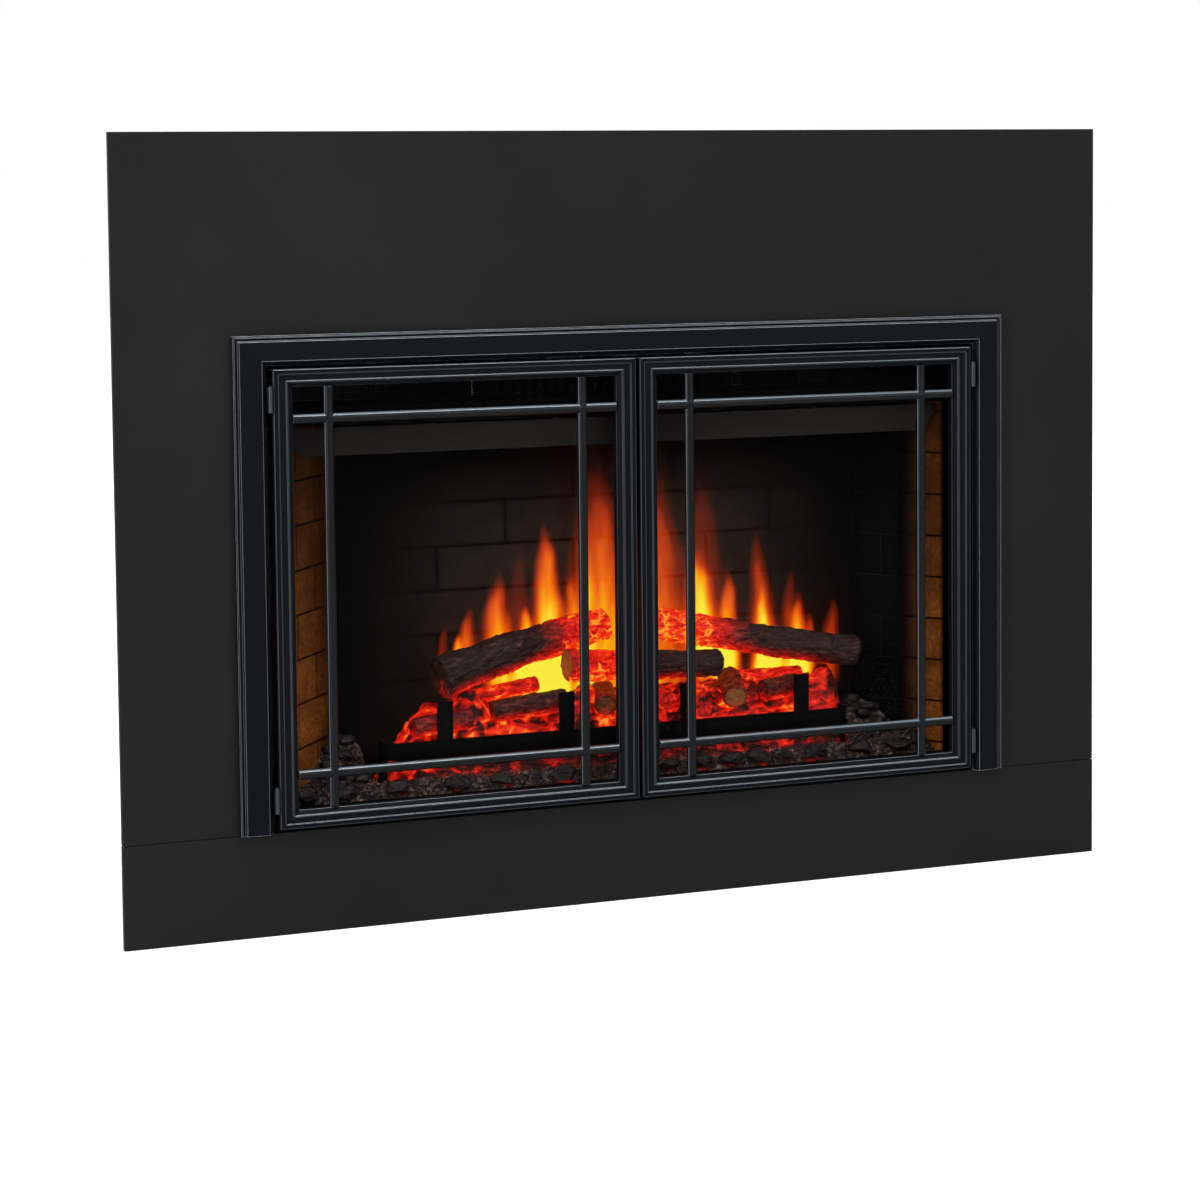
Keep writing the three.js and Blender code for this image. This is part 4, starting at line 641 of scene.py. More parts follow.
def brokenEdges(name, width):
    # the solid's own shape with its edges rounded by width millimetres
    mesh = nodes[name].data.copy()
    work = bmesh.new()
    work.from_mesh(mesh)
    bmesh.ops.remove_doubles(work, verts=work.verts, dist=breaking["merge"])
    bmesh.ops.dissolve_limit(work, angle_limit=breaking["flat"], verts=work.verts, edges=work.edges)
    work.to_mesh(mesh)
    work.free()
    piece = bpy.data.objects.new(name + "_finished", mesh)
    bpy.context.scene.collection.objects.link(piece)
    bevel = piece.modifiers.new("edge", "BEVEL")
    bevel.width = width * mm
    bevel.segments = breaking["steps"]
    bevel.limit_method = "ANGLE"
    bevel.angle_limit = breaking["sharp"]
    grille, trim = "grille" in name, "trim" in name
    # painted highlights: the bevel faces of the door and trim pieces take the lighter arris paint
    if slotOf[name] == "door_black":
        if grille:
            mesh.materials.clear()
            mesh.materials.append(barPaint)
        mesh.materials.append(trimArrisHighlight if trim else doorArrisHighlight)
        bevel.material = 0 if grille else 1
    for face in piece.data.polygons:
        face.use_smooth = True
    piece.modifiers.new("flat faces stay flat", "WEIGHTED_NORMAL")
    freeze(piece)
    if slotOf[name] == "door_black":
        piece.data.materials.append(barFlankHighlight if grille else trimLevelArrisHighlight if trim else doorUpperArrisHighlight)
    places = [vert.co for vert in piece.data.vertices]
    for face in piece.data.polygons:
        across, out, upright = face.normal
        if face.material_index == 1:
            longest = max((places[b] - places[a] for a, b in face.edge_keys), key=lambda way: way.length)
            if min(abs(longest.x), abs(longest.z)) > 0.3 * longest.length:
                face.material_index = 0  # the mitres are closed by the paint
            elif upright > 0.3 or trim and upright < -0.3:
                face.material_index = 2  # painted highlight on the level arrises
        if grille and out < 0 and (0.6 < upright < 0.93 or -0.93 < across < -0.8):
            face.material_index = 2  # painted highlight on the bars' upper and left flanks
    standsFor(piece, name)


for name, width in edges.items():
    brokenEdges(name, width)
print("edges are broken on", len(edges), "steel pieces")

# flame screen: the flames thrown on it, each from its foot to its tip, in millimetres of X and Z

flames = {
    "pitch": 2.4,  # of the sheet's grid
    "sway": [(5.0, 52, 3.3), (2.6, 21, 1.1)],  # how far, how long, seed
    "streak": (0.16, 34, 7.7),
    "lit": {"middle": (6, 240), "reach": (294, 256), "fade": (0.42, 1.02)},  # painted shade: the sheet is darkened to black outside
    "shapes": [  # foot X, foot Z, tip X, tip Z, half width, strength
        (-182, 240, -178, 296, 13, 0.36), (-163, 246, -162, 284, 11, 0.86), (-154, 244, -149, 314, 22, 0.60),
        (-117, 246, -119, 352, 30, 0.76), (-88, 255, -87, 312, 15, 0.80), (-92, 262, -98, 390, 24, 0.22),
        (-58, 258, -66, 408, 31, 0.90), (-34, 270, -30, 345, 18, 0.52), (-4, 250, -2, 480, 58, 0.50),
        (-16, 270, -12, 366, 22, 0.60), (12, 250, 9, 440, 26, 0.42), (40, 225, 36, 400, 34, 0.58),
        (68, 225, 68, 476, 56, 0.52), (46, 220, 48, 326, 36, 0.96), (118, 250, 122, 470, 46, 0.32),
        (122, 252, 110, 366, 34, 0.90), (151, 250, 148, 340, 20, 0.66), (196, 232, 183, 392, 28, 0.52),
        (194, 232, 190, 318, 16, 0.88), (228, 230, 226, 346, 20, 0.34), (234, 228, 239, 308, 18, 0.80),
        (249, 226, 249, 284, 14, 0.55), (273, 222, 282, 302, 22, 0.46),
        # fire seen through the gaps under the logs
        (-84, 190, -80, 296, 50, 1.25), (-50, 200, -48, 290, 28, 1.15), (150, 190, 150, 280, 34, 1.2),
        (205, 190, 205, 276, 46, 1.15), (242, 190, 243, 256, 28, 0.95), (-20, 190, -14, 264, 34, 0.9),
    ],
    # the haze between the flames
    "haze": [(-100, 262, 95, 74, 0.17), (0, 290, 75, 190, 0.22), (110, 268, 95, 120, 0.2),
             (215, 246, 75, 70, 0.16)],  # middle X, middle Z, width, height, strength
}


def flameHeat(x, z):
    # how hot the picture is at one place of the sheet, from 0 to 1
    bend = sum(far * lumps((x, 0, z), size, seed) for far, size, seed in flames["sway"])
    strength, size, seed = flames["streak"]
    streak = 1 + strength * lumps((x * 5, 0, z), size, seed)
    most = total = 0.0
    for footX, footZ, tipX, tipZ, wide, strong in flames["shapes"]:
        t = (z - footZ) / (tipZ - footZ)
        if t >= 1 or t < -0.5:
            continue
        up = max(0.0, t)
        middle = footX + (tipX - footX) * up
        width = wide * (1 - up) ** 0.8 * (0.86 + 0.4 * up)
        off = abs(x + bend * (0.3 + up) - middle) / width
        if off >= 1:
            continue
        part = strong * (1 - off * off) ** 1.6 * (1 - 0.6 * up) * (1 - smooth(0.6, 1.0, up))
        part *= smooth(-0.5, -0.2, t)
        most = max(most, part)
        total += part
    for middleX, middleZ, wide, tall, strong in flames["haze"]:
        off = ((x - middleX) / wide) ** 2 + ((z - middleZ) / tall) ** 2
        total += 1.6 * strong * math.exp(-off * 1.6)
    return min(1.0, (most + 0.42 * (total - most)) * streak)


def makeFlameScreen():
    low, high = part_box("flame_screen")
    columns = round((high[0] - low[0]) / mm / flames["pitch"])
    rows = round((high[2] - low[2]) / mm / flames["pitch"])
    points, faces, heat, shown = [], [], [], []
    lit = flames["lit"]
    for j in range(rows + 1):
        for i in range(columns + 1):
            x = low[0] + (high[0] - low[0]) * i / columns
            z = low[2] + (high[2] - low[2]) * j / rows
            points.append((x, low[1], z))
            heat.append(flameHeat(x / mm, z / mm))
            # painted shade: shown falls from 1 in the middle to 0 towards the sides and upper corners
            off = [abs(v / mm - m) / far for v, m, far in zip((x, z), lit["middle"], lit["reach"])]
            shown.append(1 - smooth(*lit["fade"], (off[0] ** 4 + off[1] ** 4) ** 0.25))
    for j in range(rows):
        for i in range(columns):
            a = j * (columns + 1) + i
            faces.append((a, a + 1, a + columns + 2, a + columns + 1))
    rim = [i for i in range(columns)]
    rim += [j * (columns + 1) + columns for j in range(rows)]
    rim += [rows * (columns + 1) + i for i in range(columns, 0, -1)]
    rim += [j * (columns + 1) for j in range(rows, 0, -1)]
    first = len(points)
    for place in rim:
        points.append((points[place][0], high[1], points[place][2]))
        heat.append(0.0)
        shown.append(0.0)
    for k in range(len(rim)):
        after = (k + 1) % len(rim)
        faces.append((rim[after], rim[k], first + k, first + after))
    faces.append(tuple(first + k for k in reversed(range(len(rim)))))
    piece = toMesh("flame_sheet", points, faces, screenSheet, {"fireLevel": heat, "shown": shown},
                   soft=False)
    standsFor(piece, "flame_screen")


felt = {"inner": 303.5 * mm, "outer": 306 * mm, "front": 0.9 * mm, "back": 0.1 * mm}


def makeFelt():
    # a felt strip on each upright edge of the sheet keeps its light in
    low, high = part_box("flame_screen")
    inner, outer, front, back = felt["inner"], felt["outer"], low[1] - felt["front"], low[1] - felt["back"]
    points, faces = [], []
    for way in (-1, 1):
        first = len(points)
        for z in (low[2], high[2]):
            points += [(way * inner, front, z), (way * outer, front, z), (way * outer, back, z),
                       (way * inner, back, z)]
        faces += [tuple(first + k for k in face) for face in
                  ((0, 1, 2, 3), (4, 7, 6, 5), (0, 4, 5, 1), (1, 5, 6, 2), (2, 6, 7, 3), (3, 7, 4, 0))]
    piece = facingOut(toMesh("screen_edge_felt", points, faces, insidePaint, soft=False))
    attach(piece, body("flame_screen"))


makeFlameScreen()
makeFelt()
print("flame screen is on")

# the three logs: bark or burnt blocks over a bent core, with sawn or broken ends

# glow: along the log, and at its underside as painted light from the ember bed below; ends: how freshly sawn;
# broken: how rough, in millimetres
logs = {
    "log_left": {"from": (-200, 56, 240), "to": (-4, 84, 281), "radius": (24.3, 19.4), "sag": -4,
                 "seed": 3.1, "glow": [(0, 0.0), (0.5, 0.03), (0.66, 0.3), (0.78, 0.72), (1, 0.95)],
                 "under": 0.8, "ends": (0.03, 0.0), "broken": (2.6, 3.0)},
    "log_centre": {"from": (-60, 52, 246), "to": (119, 58, 235), "radius": (19.4, 15.6), "sag": 2,
                   "seed": 7.4,
                   "glow": [(0, 0.5), (0.1, 0.72), (0.3, 0.85), (0.44, 0.4), (0.56, 0.05), (1, 0.0)],
                   "under": 0.65, "ends": (0.5, 0.05), "broken": (0.8, 5.0)},
    "log_right": {"from": (50, 74, 281), "to": (285, 62, 236), "radius": (19.4, 18.4), "sag": 2,
                  "seed": 11.2,
                  "glow": [(0, 0.8), (0.1, 0.95), (0.24, 0.8), (0.36, 0.28), (0.5, 0.06), (1, 0.0)],
                  "under": 0.6, "ends": (0.1, 0.15), "broken": (3.0, 1.5)},
}
smallLogs = [
    {"from": (-142, 58, 200), "to": (-58, 62, 207), "radius": (12.8, 13.2), "seed": 21, "glow": 0.16,
     "under": 0.7},
    {"from": (-232, 52, 190), "to": (-166, 58, 196), "radius": (11.8, 12.8), "seed": 23, "glow": 0.26,
     "under": 0.7},
    {"from": (-176, 80, 210), "to": (-82, 84, 222), "radius": (9.8, 8.8), "seed": 25, "glow": 0.6,
     "under": 0.5},
    {"from": (-18, 47, 199), "to": (-6, 88, 212), "radius": (14.6, 13.6), "seed": 27, "glow": 0.3,
     "under": 0.7, "ends": (0.45, 0)},
    {"from": (64, 48, 194), "to": (40, 92, 210), "radius": (11.8, 11.8), "seed": 29, "glow": 0.5,
     "under": 0.5},
    {"from": (133, 46, 197), "to": (143, 88, 214), "radius": (16.2, 14.7), "seed": 31, "glow": 0.26,
     "under": 0.8, "ends": (1.0, 0)},
    {"from": (168, 52, 201), "to": (214, 66, 204), "radius": (13.8, 12.8), "seed": 33, "glow": 0.2,
     "under": 0.7},
    {"from": (140, 86, 213), "to": (228, 84, 212), "radius": (8.8, 8.8), "seed": 35, "glow": 0.62,
     "under": 0.4},
]
# the bark's relief in millimetres: height and length of each unevenness, depth of the cracks
bark = {"sink": 1.9, "swell": (2.3, 34), "wrinkle": (1.2, 3.6), "grit": (0.7, 2.8), "plate": 8.5,
        "block": 12.0, "barkCrack": 1.5, "burntCrack": 2.4, "crackWide": 0.34, "rim": (1.6, 3.0),
        "full": 20}


def logShape(plan, around, along, capRings):
    # points, faces and attributes of one log, in assembly millimetres
    a, b = Vector(plan["from"]), Vector(plan["to"])
    way = (b - a).normalized()
    side = way.cross(Vector((0, 0, 1))).normalized()
    up = side.cross(way)
    length = (b - a).length
    seed = plan["seed"]
    broken = plan.get("broken", (1.0, 1.0))
    ends = plan.get("ends", (0.0, 0.0))
    stops = plan["glow"] if isinstance(plan["glow"], list) else [(0, plan["glow"]), (1, plan["glow"])]
    block = plan.get("block", bark["block"])
    (swell, swellLong), (wrinkle, wrinkleLong) = bark["swell"], bark["wrinkle"]
    grit, gritLong = bark["grit"]
    rimDrop, rimWide = bark["rim"]
    points, values = [], {"glow": [], "hot": [], "cutEnd": [], "ringPlace": []}

    def place(t, angle, share, end=None):
        middle = a.lerp(b, t)
        middle.z -= plan.get("sag", 0) * 4 * t * (1 - t)
        radial = side * math.cos(angle) + up * math.sin(angle)
        radius = plan["radius"][0] + (plan["radius"][1] - plan["radius"][0]) * t
        s = t * length
        q = (s * 0.36, radius * math.cos(angle), radius * math.sin(angle))
        whole = (s, q[1], q[2])
        glow = mixed(stops, t + 0.07 * lumps(whole, 17, seed))
        # painted light: faces turned downwards glow with the ember bed's light from below
        under = plan["under"] * max(0.0, -radial.z) ** 1.5
        glow = min(1.0, glow + under * smooth(0.12, 0.3, t + 0.2) * smooth(1.0, 0.7, t))
        plates = chunks(q, bark["plate"], seed)
        blocks = chunks((s + 3 * lumps(whole, 9, seed), q[1], q[2]), block, seed)
        relief = swell * lumps(whole, swellLong, seed) - bark["sink"]
        relief += wrinkle * lumps(q, wrinkleLong, seed) + grit * lumps(whole, gritLong, seed)
        relief -= (1 - glow) * bark["barkCrack"] * (1 - smooth(0.0, bark["crackWide"], plates))
        relief -= glow * bark["burntCrack"] * (1 - smooth(0.0, bark["crackWide"], blocks))
        relief *= min(1.0, radius / bark["full"])
        relief -= rimDrop * (1 - smooth(0.0, rimWide, min(s, length - s))) ** 2
        reach = (radius + relief) * share
        spot = middle + radial * reach
        inside = share * radius
        if end is not None:
            face = tuple(radial * inside)
            rough = broken[end] * (lumps(face, 6.5, seed + end) + 0.5 * lumps(face, 2.4, seed))
            spot += way * (1 if end else -1) * (-0.6 * broken[end] + rough * 0.8) * (1 - share ** 6)
        points.append(spot)
        crack = 1 - smooth(0.0, 0.26, blocks)
        hot = crack * smooth(0.02, 0.3, lumps(whole, 15, seed + 4)) * smooth(0.35, 0.8, glow)
        values["glow"].append(glow * (0.5 if end is not None and ends[end] > 0.3 else 1.0))
        values["hot"].append(hot if end is None else 0.0)
        values["cutEnd"].append(ends[end] * smooth(1.0, 0.9, share) if end is not None else 0.0)
        values["ringPlace"].append(share)

    rings = [(0.0, k / capRings, 0) for k in range(1, capRings + 1)]
    rings += [(k / along, 1.0, None) for k in range(1, along)]
    rings += [(1.0, k / capRings, 1) for k in range(capRings, 0, -1)]
    place(0.0, 0.0, 0.001, 0)
    for t, share, end in rings:
        for i in range(around):
            place(t, 2 * math.pi * i / around, share, end)
    place(1.0, 0.0, 0.001, 1)
    last = len(points) - 1
    faces = [(0, 1 + (i + 1) % around, 1 + i) for i in range(around)]
    for r in range(len(rings) - 1):
        for i in range(around):
            j = (i + 1) % around
            low, high = 1 + r * around, 1 + (r + 1) * around
            faces.append((low + i, low + j, high + j, high + i))
    top = 1 + (len(rings) - 1) * around
    faces += [(last, top + i, top + (i + 1) % around) for i in range(around)]
    return points, faces, values


def inBox(points, node):
    # keeps assembly millimetre points inside a solid's box
    low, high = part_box(node)
    kept = []
    for point in points:
        spot = row(*point)
        kept.append(tuple(min(max(v, l + 0.00005), h - 0.00005) for v, l, h in zip(spot, low, high)))
    return kept


for name, plan in logs.items():
    shape = logShape(plan, 132, 190, 14)
    piece = toMesh(name + "_bark", inBox(shape[0], name), shape[1], logPaint, shape[2])
    standsFor(facingOut(piece), name)
points, faces, values = [], [], {}
for plan in smallLogs:
    shape = logShape({**plan, "block": 9.0}, 76, 70, 9)
    faces += [tuple(k + len(points) for k in face) for face in shape[1]]
    points += shape[0]
    for key, held in shape[2].items():
        values.setdefault(key, []).extend(held)
piece = toMesh("small_logs", inBox(points, "ember_bed"), faces, logPaint, values)
standsFor(facingOut(piece), "ember_bed", slot="bark_resin")
print("logs are laid")

# ember bed: one moulding of broken, glowing chunks

embers = {
    "half": 277.0, "front": 38.2, "back": 107.4, "floor": 114.4, "step": 1.5,
    "rise": [(38.2, 134), (44, 150), (58, 178), (74, 206), (90, 209), (107.4, 207)],  # Y and Z
    "endZ": 134, "endRun": (84, 40),  # the mound falls away over this much, on the left and the right
    "chunk": 15.0, "small": 5.2, "chunkRise": 5.0, "smallRise": 1.5, "settle": 4.6, "wave": (2.0, 24),
    "bulge": 2.2, "proud": 0.4,
    "glow": {"chunk": 0.36, "crack": 0.38, "drift": (0.3, 34), "crust": 0.22, "ends": 0.75},
}
logRests = [(-165, 66, 223, 10), (-35, 62, 224, 9), (90, 66, 219, 9), (250, 70, 221, 10)]  # X, Y, Z, width


def emberTop(x, y):
    top = mixed(embers["rise"], y)
    fall = smooth(embers["half"] - embers["endRun"][x >= 0], embers["half"] - 2, abs(x))
    top += (embers["endZ"] - top) * fall
    for restX, restY, restZ, wide in logRests:
        near = math.hypot((x - restX) * 0.6, y - restY) / (wide * 2.0)
        if near < 1:
            top += (restZ - top) * (1 - smooth(0.1, 1.0, near))
    return top


def emberGlow(x, y, z, block):
    # bright in the cracks between the chunks, duller on their crust and at the mound's ends
    shade = embers["glow"]
    drift, driftLong = shade["drift"]
    level = shade["chunk"] + shade["crack"] * (1 - smooth(0.0, 0.5, block))
    level += drift * lumps((x, y, z), driftLong, 9.0)
    level -= shade["crust"] * smooth(0.35, 0.9, block) * (0.5 + lumps((x, y, z), 13, 5.0))
    level *= 1 - shade["ends"] * smooth(embers["half"] - 52, embers["half"] - 4, abs(x))
    # ash dust has settled against the foot of the bed
    dust = smooth(168, 146, z) * smooth(48, 42, y)
    return level * (1 - dust * (0.62 + 0.6 * lumps((x, y, z * 2), 15, 2.5)))


def makeEmbers():
    front, back, foot = embers["front"], embers["back"], embers["floor"]
    wave, waveLong = embers["wave"]
    path = [(front, share) for share in (0.0, 0.12, 0.24, 0.36, 0.48, 0.6, 0.72, 0.84, 0.94)]
    path += [(front + (back - front) * k / 60, 1.0) for k in range(61)]
    path += [(back, 0.6), (back, 0.0)]
    columns = round(2 * embers["half"] / embers["step"])
    points, faces, glow = [], [], []
    for i in range(columns + 1):
        x = -embers["half"] + 2 * embers["half"] * i / columns
        for y, share in path:
            z = foot + (emberTop(x, y) - foot) * share
            q = (x / 1.7 + 5 * lumps((x, y, z), 16), y, z + 4 * lumps((x, y, z), 21, 2.0))
            block = chunks(q, embers["chunk"], 1.7)
            small = chunks(q, embers["small"], 4.1)
            rise = embers["chunkRise"] * smooth(0.0, 0.5, block) - embers["settle"]
            rise += embers["smallRise"] * small + wave * lumps((x, y, z), waveLong, 6.0)
            z += share * rise
            crack = 0.0 if share == 1.0 and y > front else 1 - smooth(0.0, 0.5, block)
            points.append((x, max(y + embers["bulge"] * crack, front - embers["proud"]), z))
            glow.append(emberGlow(x, y, z, block))
    ring = len(path)
    for i in range(columns):
        for k in range(ring):
            after = (k + 1) % ring
            a, b = i * ring, (i + 1) * ring
            faces.append((a + k, b + k, b + after, a + after))
    faces.append(tuple(range(ring)))
    faces.append(tuple(columns * ring + k for k in reversed(range(ring))))
    piece = toMesh("ember_mound", inBox(points, "ember_bed"), faces, emberResin, {"glow": glow})
    standsFor(facingOut(piece), "ember_bed")


makeEmbers()
print("ember bed is laid")

# ash bed: crushed granules on a moulded slope, with coals along the front and in the corners

ash = {
    "front": 24.9, "back": 107.2, "floor": 114.2,
    "half": (24.5, 370.2, 66 / 81.5),  # from Y, half width, taper
    "top": 121.0, "step": 20.0, "stepRun": (24.5, 42.5),
    "corner": 32.0, "cornerRun": [(218, 298), (54, 98)],  # in X and in Y
    "bed": (276.5, 39.2),  # the ember bed stands inside this half width, behind this Y
    "rough": [(1.6, 12, 3.0), (0.9, 4.5, 8.0)],  # height, length, seed
    "columns": 470, "rows": 54,
}
granules = {"size": 2.0, "perSquareMetre": 260000, "seed": 3, "clear": 2.5, "lift": 0.2,
            "patches": [(-366, 366, 27.2, 39.0, 240, 5), (-364, -279, 39.0, 104.5, 30, 24),
                        (279, 364, 39.0, 104.5, 30, 24)]}  # X, X, Y, Y, columns, rows
# X and size of the coals along the front, then X, Y and size of those in each corner
coalRow = [(-351, 11), (-311, 12.5), (-252, 11), (-188, 12), (-139, 10.5), (-72, 12.5), (6, 11.5),
           (48, 11), (85, 12), (123, 11), (155, 12.5), (184, 11), (219, 12.5), (278, 11), (322, 12)]
coalHeaps = [(300, 66, 9), (322, 58, 8), (312, 84, 9), (293, 96, 8.5), (339, 44, 7), (302, 50, 8),
             (318, 72, 9), (300, 79, 9), (327, 46, 7), (299, 101, 8), (309, 60, 7), (350, 36, 8),
             (289, 44, 8)]
coal = {"rowY": 33.5, "lift": 1.5, "planes": 11, "cut": (0.62, 0.3), "ball": 1.08,
        "chips": [(0.13, 4.2), (0.06, 1.6)], "shape": (1.25, 0.85, 0.78), "glow": 0.8, "seed": 5}


def ashHalf(y):
    start, half, taper = ash["half"]
    return half - taper * (y - start)


def ashStep(y):
    # the slope that rises from the glass to the ember bed
    return ash["top"] + ash["step"] * smooth(*ash["stepRun"], y)


def ashTop(x, y):
    half, front = ash["bed"]
    if abs(x) < half and y > front:
        return ash["floor"] + 0.2
    runX, runY = ash["cornerRun"]
    top = ashStep(y) + ash["corner"] * smooth(*runX, abs(x)) * smooth(*runY, y)
    return top + sum(high * lumps((x, y, 0), size, seed) for high, size, seed in ash["rough"])


def ashGlow(x, y):
    # painted light: the ember lamps' light on the granules beside the bed is painted on as glow
    level = 0.04 + 0.85 * smooth(31, 40, y) ** 2 if y < 40 else 0.45 * smooth(318, 284, abs(x))
    return max(0.0, level * smooth(300, 235, abs(x)) * (0.45 + 1.3 * lumps((x, y, 0), 22, 6.0)))


def makeAsh():
    columns, rows = ash["columns"], ash["rows"]
    points, faces, glow = [], [], []
    for layer in (1, 0):
        for j in range(rows + 1):
            y = ash["front"] + (ash["back"] - ash["front"]) * j / rows
            for i in range(columns + 1):
                x = ashHalf(y) * (2 * i / columns - 1)
                points.append((x, y, ashTop(x, y) if layer else ash["floor"] - 0.2))
                glow.append(ashGlow(x, y) if layer else 0.0)
    wide = columns + 1
    under = wide * (rows + 1)
    for j in range(rows):
        for i in range(columns):
            a = j * wide + i
            faces.append((a, a + 1, a + wide + 1, a + wide))
    rim = [i for i in range(columns)] + [j * wide + columns for j in range(rows)]
    rim += [rows * wide + i for i in range(columns, 0, -1)] + [j * wide for j in range(rows, 0, -1)]
    loop = {}
    kept, level = list(points[:under]), list(glow[:under])
    for place in rim:
        loop[place] = len(kept)
        kept.append(points[under + place])
        level.append(0.0)
    for k, place in enumerate(rim):
        after = rim[(k + 1) % len(rim)]
        faces.append((after, place, loop[place], loop[after]))
    faces.append(tuple(loop[place] for place in reversed(rim)))
    piece = toMesh("ash_slope", inBox(kept, "ash_bed"), faces, ashResin, {"glow": level})
    standsFor(facingOut(piece), "ash_bed")


def coalLump(x, y, z, size, seed):
    # a broken lump: a ball cut by random planes, then chipped
    work = bmesh.new()
    bmesh.ops.create_icosphere(work, subdivisions=4, radius=1.0)
    planes = []
    least, more = coal["cut"]
    for k in range(coal["planes"]):
        way = noise.random_unit_vector(size=3)
        planes.append((way, least + more * noise.random()))
    places = []
    for vert in work.verts:
        way = vert.co.normalized()
        reach = coal["ball"]
        for normal, height in planes:
            facing = way.dot(normal)
            if facing > 0.05:
                reach = min(reach, height / facing)
        reach += sum(deep * lumps(tuple(way * size), long, seed) for deep, long in coal["chips"])
        places.append(tuple(m + v * f for m, v, f in zip((x, y, z), way * reach * size, coal["shape"])))
    faces = [tuple(vert.index for vert in face.verts) for face in work.faces]
    work.free()
    return places, faces


def makeCoals():
    noise.seed_set(coal["seed"])
    points, faces, glow = [], [], []
    rowZ = ashStep(coal["rowY"]) + coal["lift"]
    wanted = [(x, coal["rowY"], rowZ, size) for x, size in coalRow]
    for x, y, size in coalHeaps:
        for way in (-1, 1):
            wanted.append((way * x, y, ashTop(way * x, y) + coal["lift"], size))
    for k, (x, y, z, size) in enumerate(wanted):
        places, quads = coalLump(x, y, z, size, k * 1.3)
        faces += [tuple(v + len(points) for v in face) for face in quads]
        points += places
        for place in places:
            # painted light: the lower part of each coal in the front row glows with the ember bed's light
            below = smooth(z - 1, z - size * 0.75, place[2])
            glow.append(coal["glow"] * below * smooth(285, 240, abs(x)) if y < 40 else 0.0)
    piece = toMesh("coals", inBox(points, "ash_bed"), faces, coalPaint, {"glow": glow})
    standsFor(facingOut(piece), "ash_bed")


def newTree(name, sockets):
    # a Geometry Nodes tree with named inputs and one geometry output
    tree = bpy.data.node_groups.new(name, "GeometryNodeTree")
    tree.interface.new_socket(name="Geometry", in_out="INPUT", socket_type="NodeSocketGeometry")
    for key, kind in sockets.items():
        tree.interface.new_socket(name=key, in_out="INPUT", socket_type=kind)
    tree.interface.new_socket(name="Geometry", in_out="OUTPUT", socket_type="NodeSocketGeometry")
    start = tree.nodes.new("NodeGroupInput")
    return tree, start


def finishTree(tree, shape, material):
    real = addNode(tree, "GeometryNodeRealizeInstances", {"Geometry": shape})
    dressed = addNode(tree, "GeometryNodeSetMaterial", {"Geometry": real.outputs["Geometry"],
                      "Material": material})
    addNode(tree, "NodeGroupOutput", {"Geometry": dressed.outputs["Geometry"]})


def grown(piece, tree, values):
    # the tree's result on this piece, as plain mesh
    modifier = piece.modifiers.new("grown", "NODES")
    modifier.node_group = tree
    for item in tree.interface.items_tree:
        if item.in_out == "INPUT" and item.name in values:
            modifier[item.identifier] = values[item.name]
    return freeze(piece)


def granuleTree():
    tree, start = newTree("crushed granules", {"Density": "NodeSocketFloat", "Granule": "NodeSocketFloat",
                          "Seed": "NodeSocketInt", "Material": "NodeSocketMaterial"})
    spots = addNode(tree, "GeometryNodeDistributePointsOnFaces",
                    {"Mesh": start.outputs["Geometry"], "Density": start.outputs["Density"],
                     "Seed": start.outputs["Seed"]})
    grain = addNode(tree, "GeometryNodeMeshIcoSphere", {"Radius": start.outputs["Granule"],
                    "Subdivisions": 1})
    spin = addNode(tree, "FunctionNodeRandomValue", {0: (0, 0, 0), 1: (6.28, 6.28, 6.28), "Seed": 4},
                   data_type="FLOAT_VECTOR")
    size = addNode(tree, "FunctionNodeRandomValue", {0: (0.45, 0.35, 0.3), 1: (1.35, 0.95, 0.8), "Seed": 9},
                   data_type="FLOAT_VECTOR")
    laid = addNode(tree, "GeometryNodeInstanceOnPoints",
                   {"Points": spots.outputs["Points"], "Instance": grain.outputs["Mesh"],
                    "Rotation": spin.outputs["Value"], "Scale": size.outputs["Value"]})
    finishTree(tree, laid.outputs["Instances"], start.outputs["Material"])
    return tree


def makeGranules():
    # only the ash that shows carries loose granules
    points, faces, glow = [], [], []
    for x0, x1, y0, y1, columns, rows in granules["patches"]:
        first = len(points)
        for j in range(rows + 1):
            for i in range(columns + 1):
                y = y0 + (y1 - y0) * j / rows
                half = ashHalf(y) - granules["clear"]
                x = min(max(x0 + (x1 - x0) * i / columns, -half), half)
                points.append(row(x, y, ashTop(x, y) + granules["lift"]))
                glow.append(ashGlow(x, y))
        for j in range(rows):
            for i in range(columns):
                a = first + j * (columns + 1) + i
                faces.append((a, a + 1, a + columns + 2, a + columns + 1))
    piece = toMesh("ash_granules", points, faces, ashResin, {"glow": glow})
    grown(piece, granuleTree(), {"Density": float(granules["perSquareMetre"]),
                                 "Granule": granules["size"] * mm, "Seed": granules["seed"],
                                 "Material": ashResin})
    standsFor(piece, "ash_bed")


makeAsh()
makeCoals()
makeGranules()
print("ash, coals and granules are laid")

# outlet: a fine wire cloth in a thin frame, instead of the solid's plain slots

cloth = {"pitch": 2.2, "wire": 1.16, "border": 5.0}  # rolled flat to half the wire's width


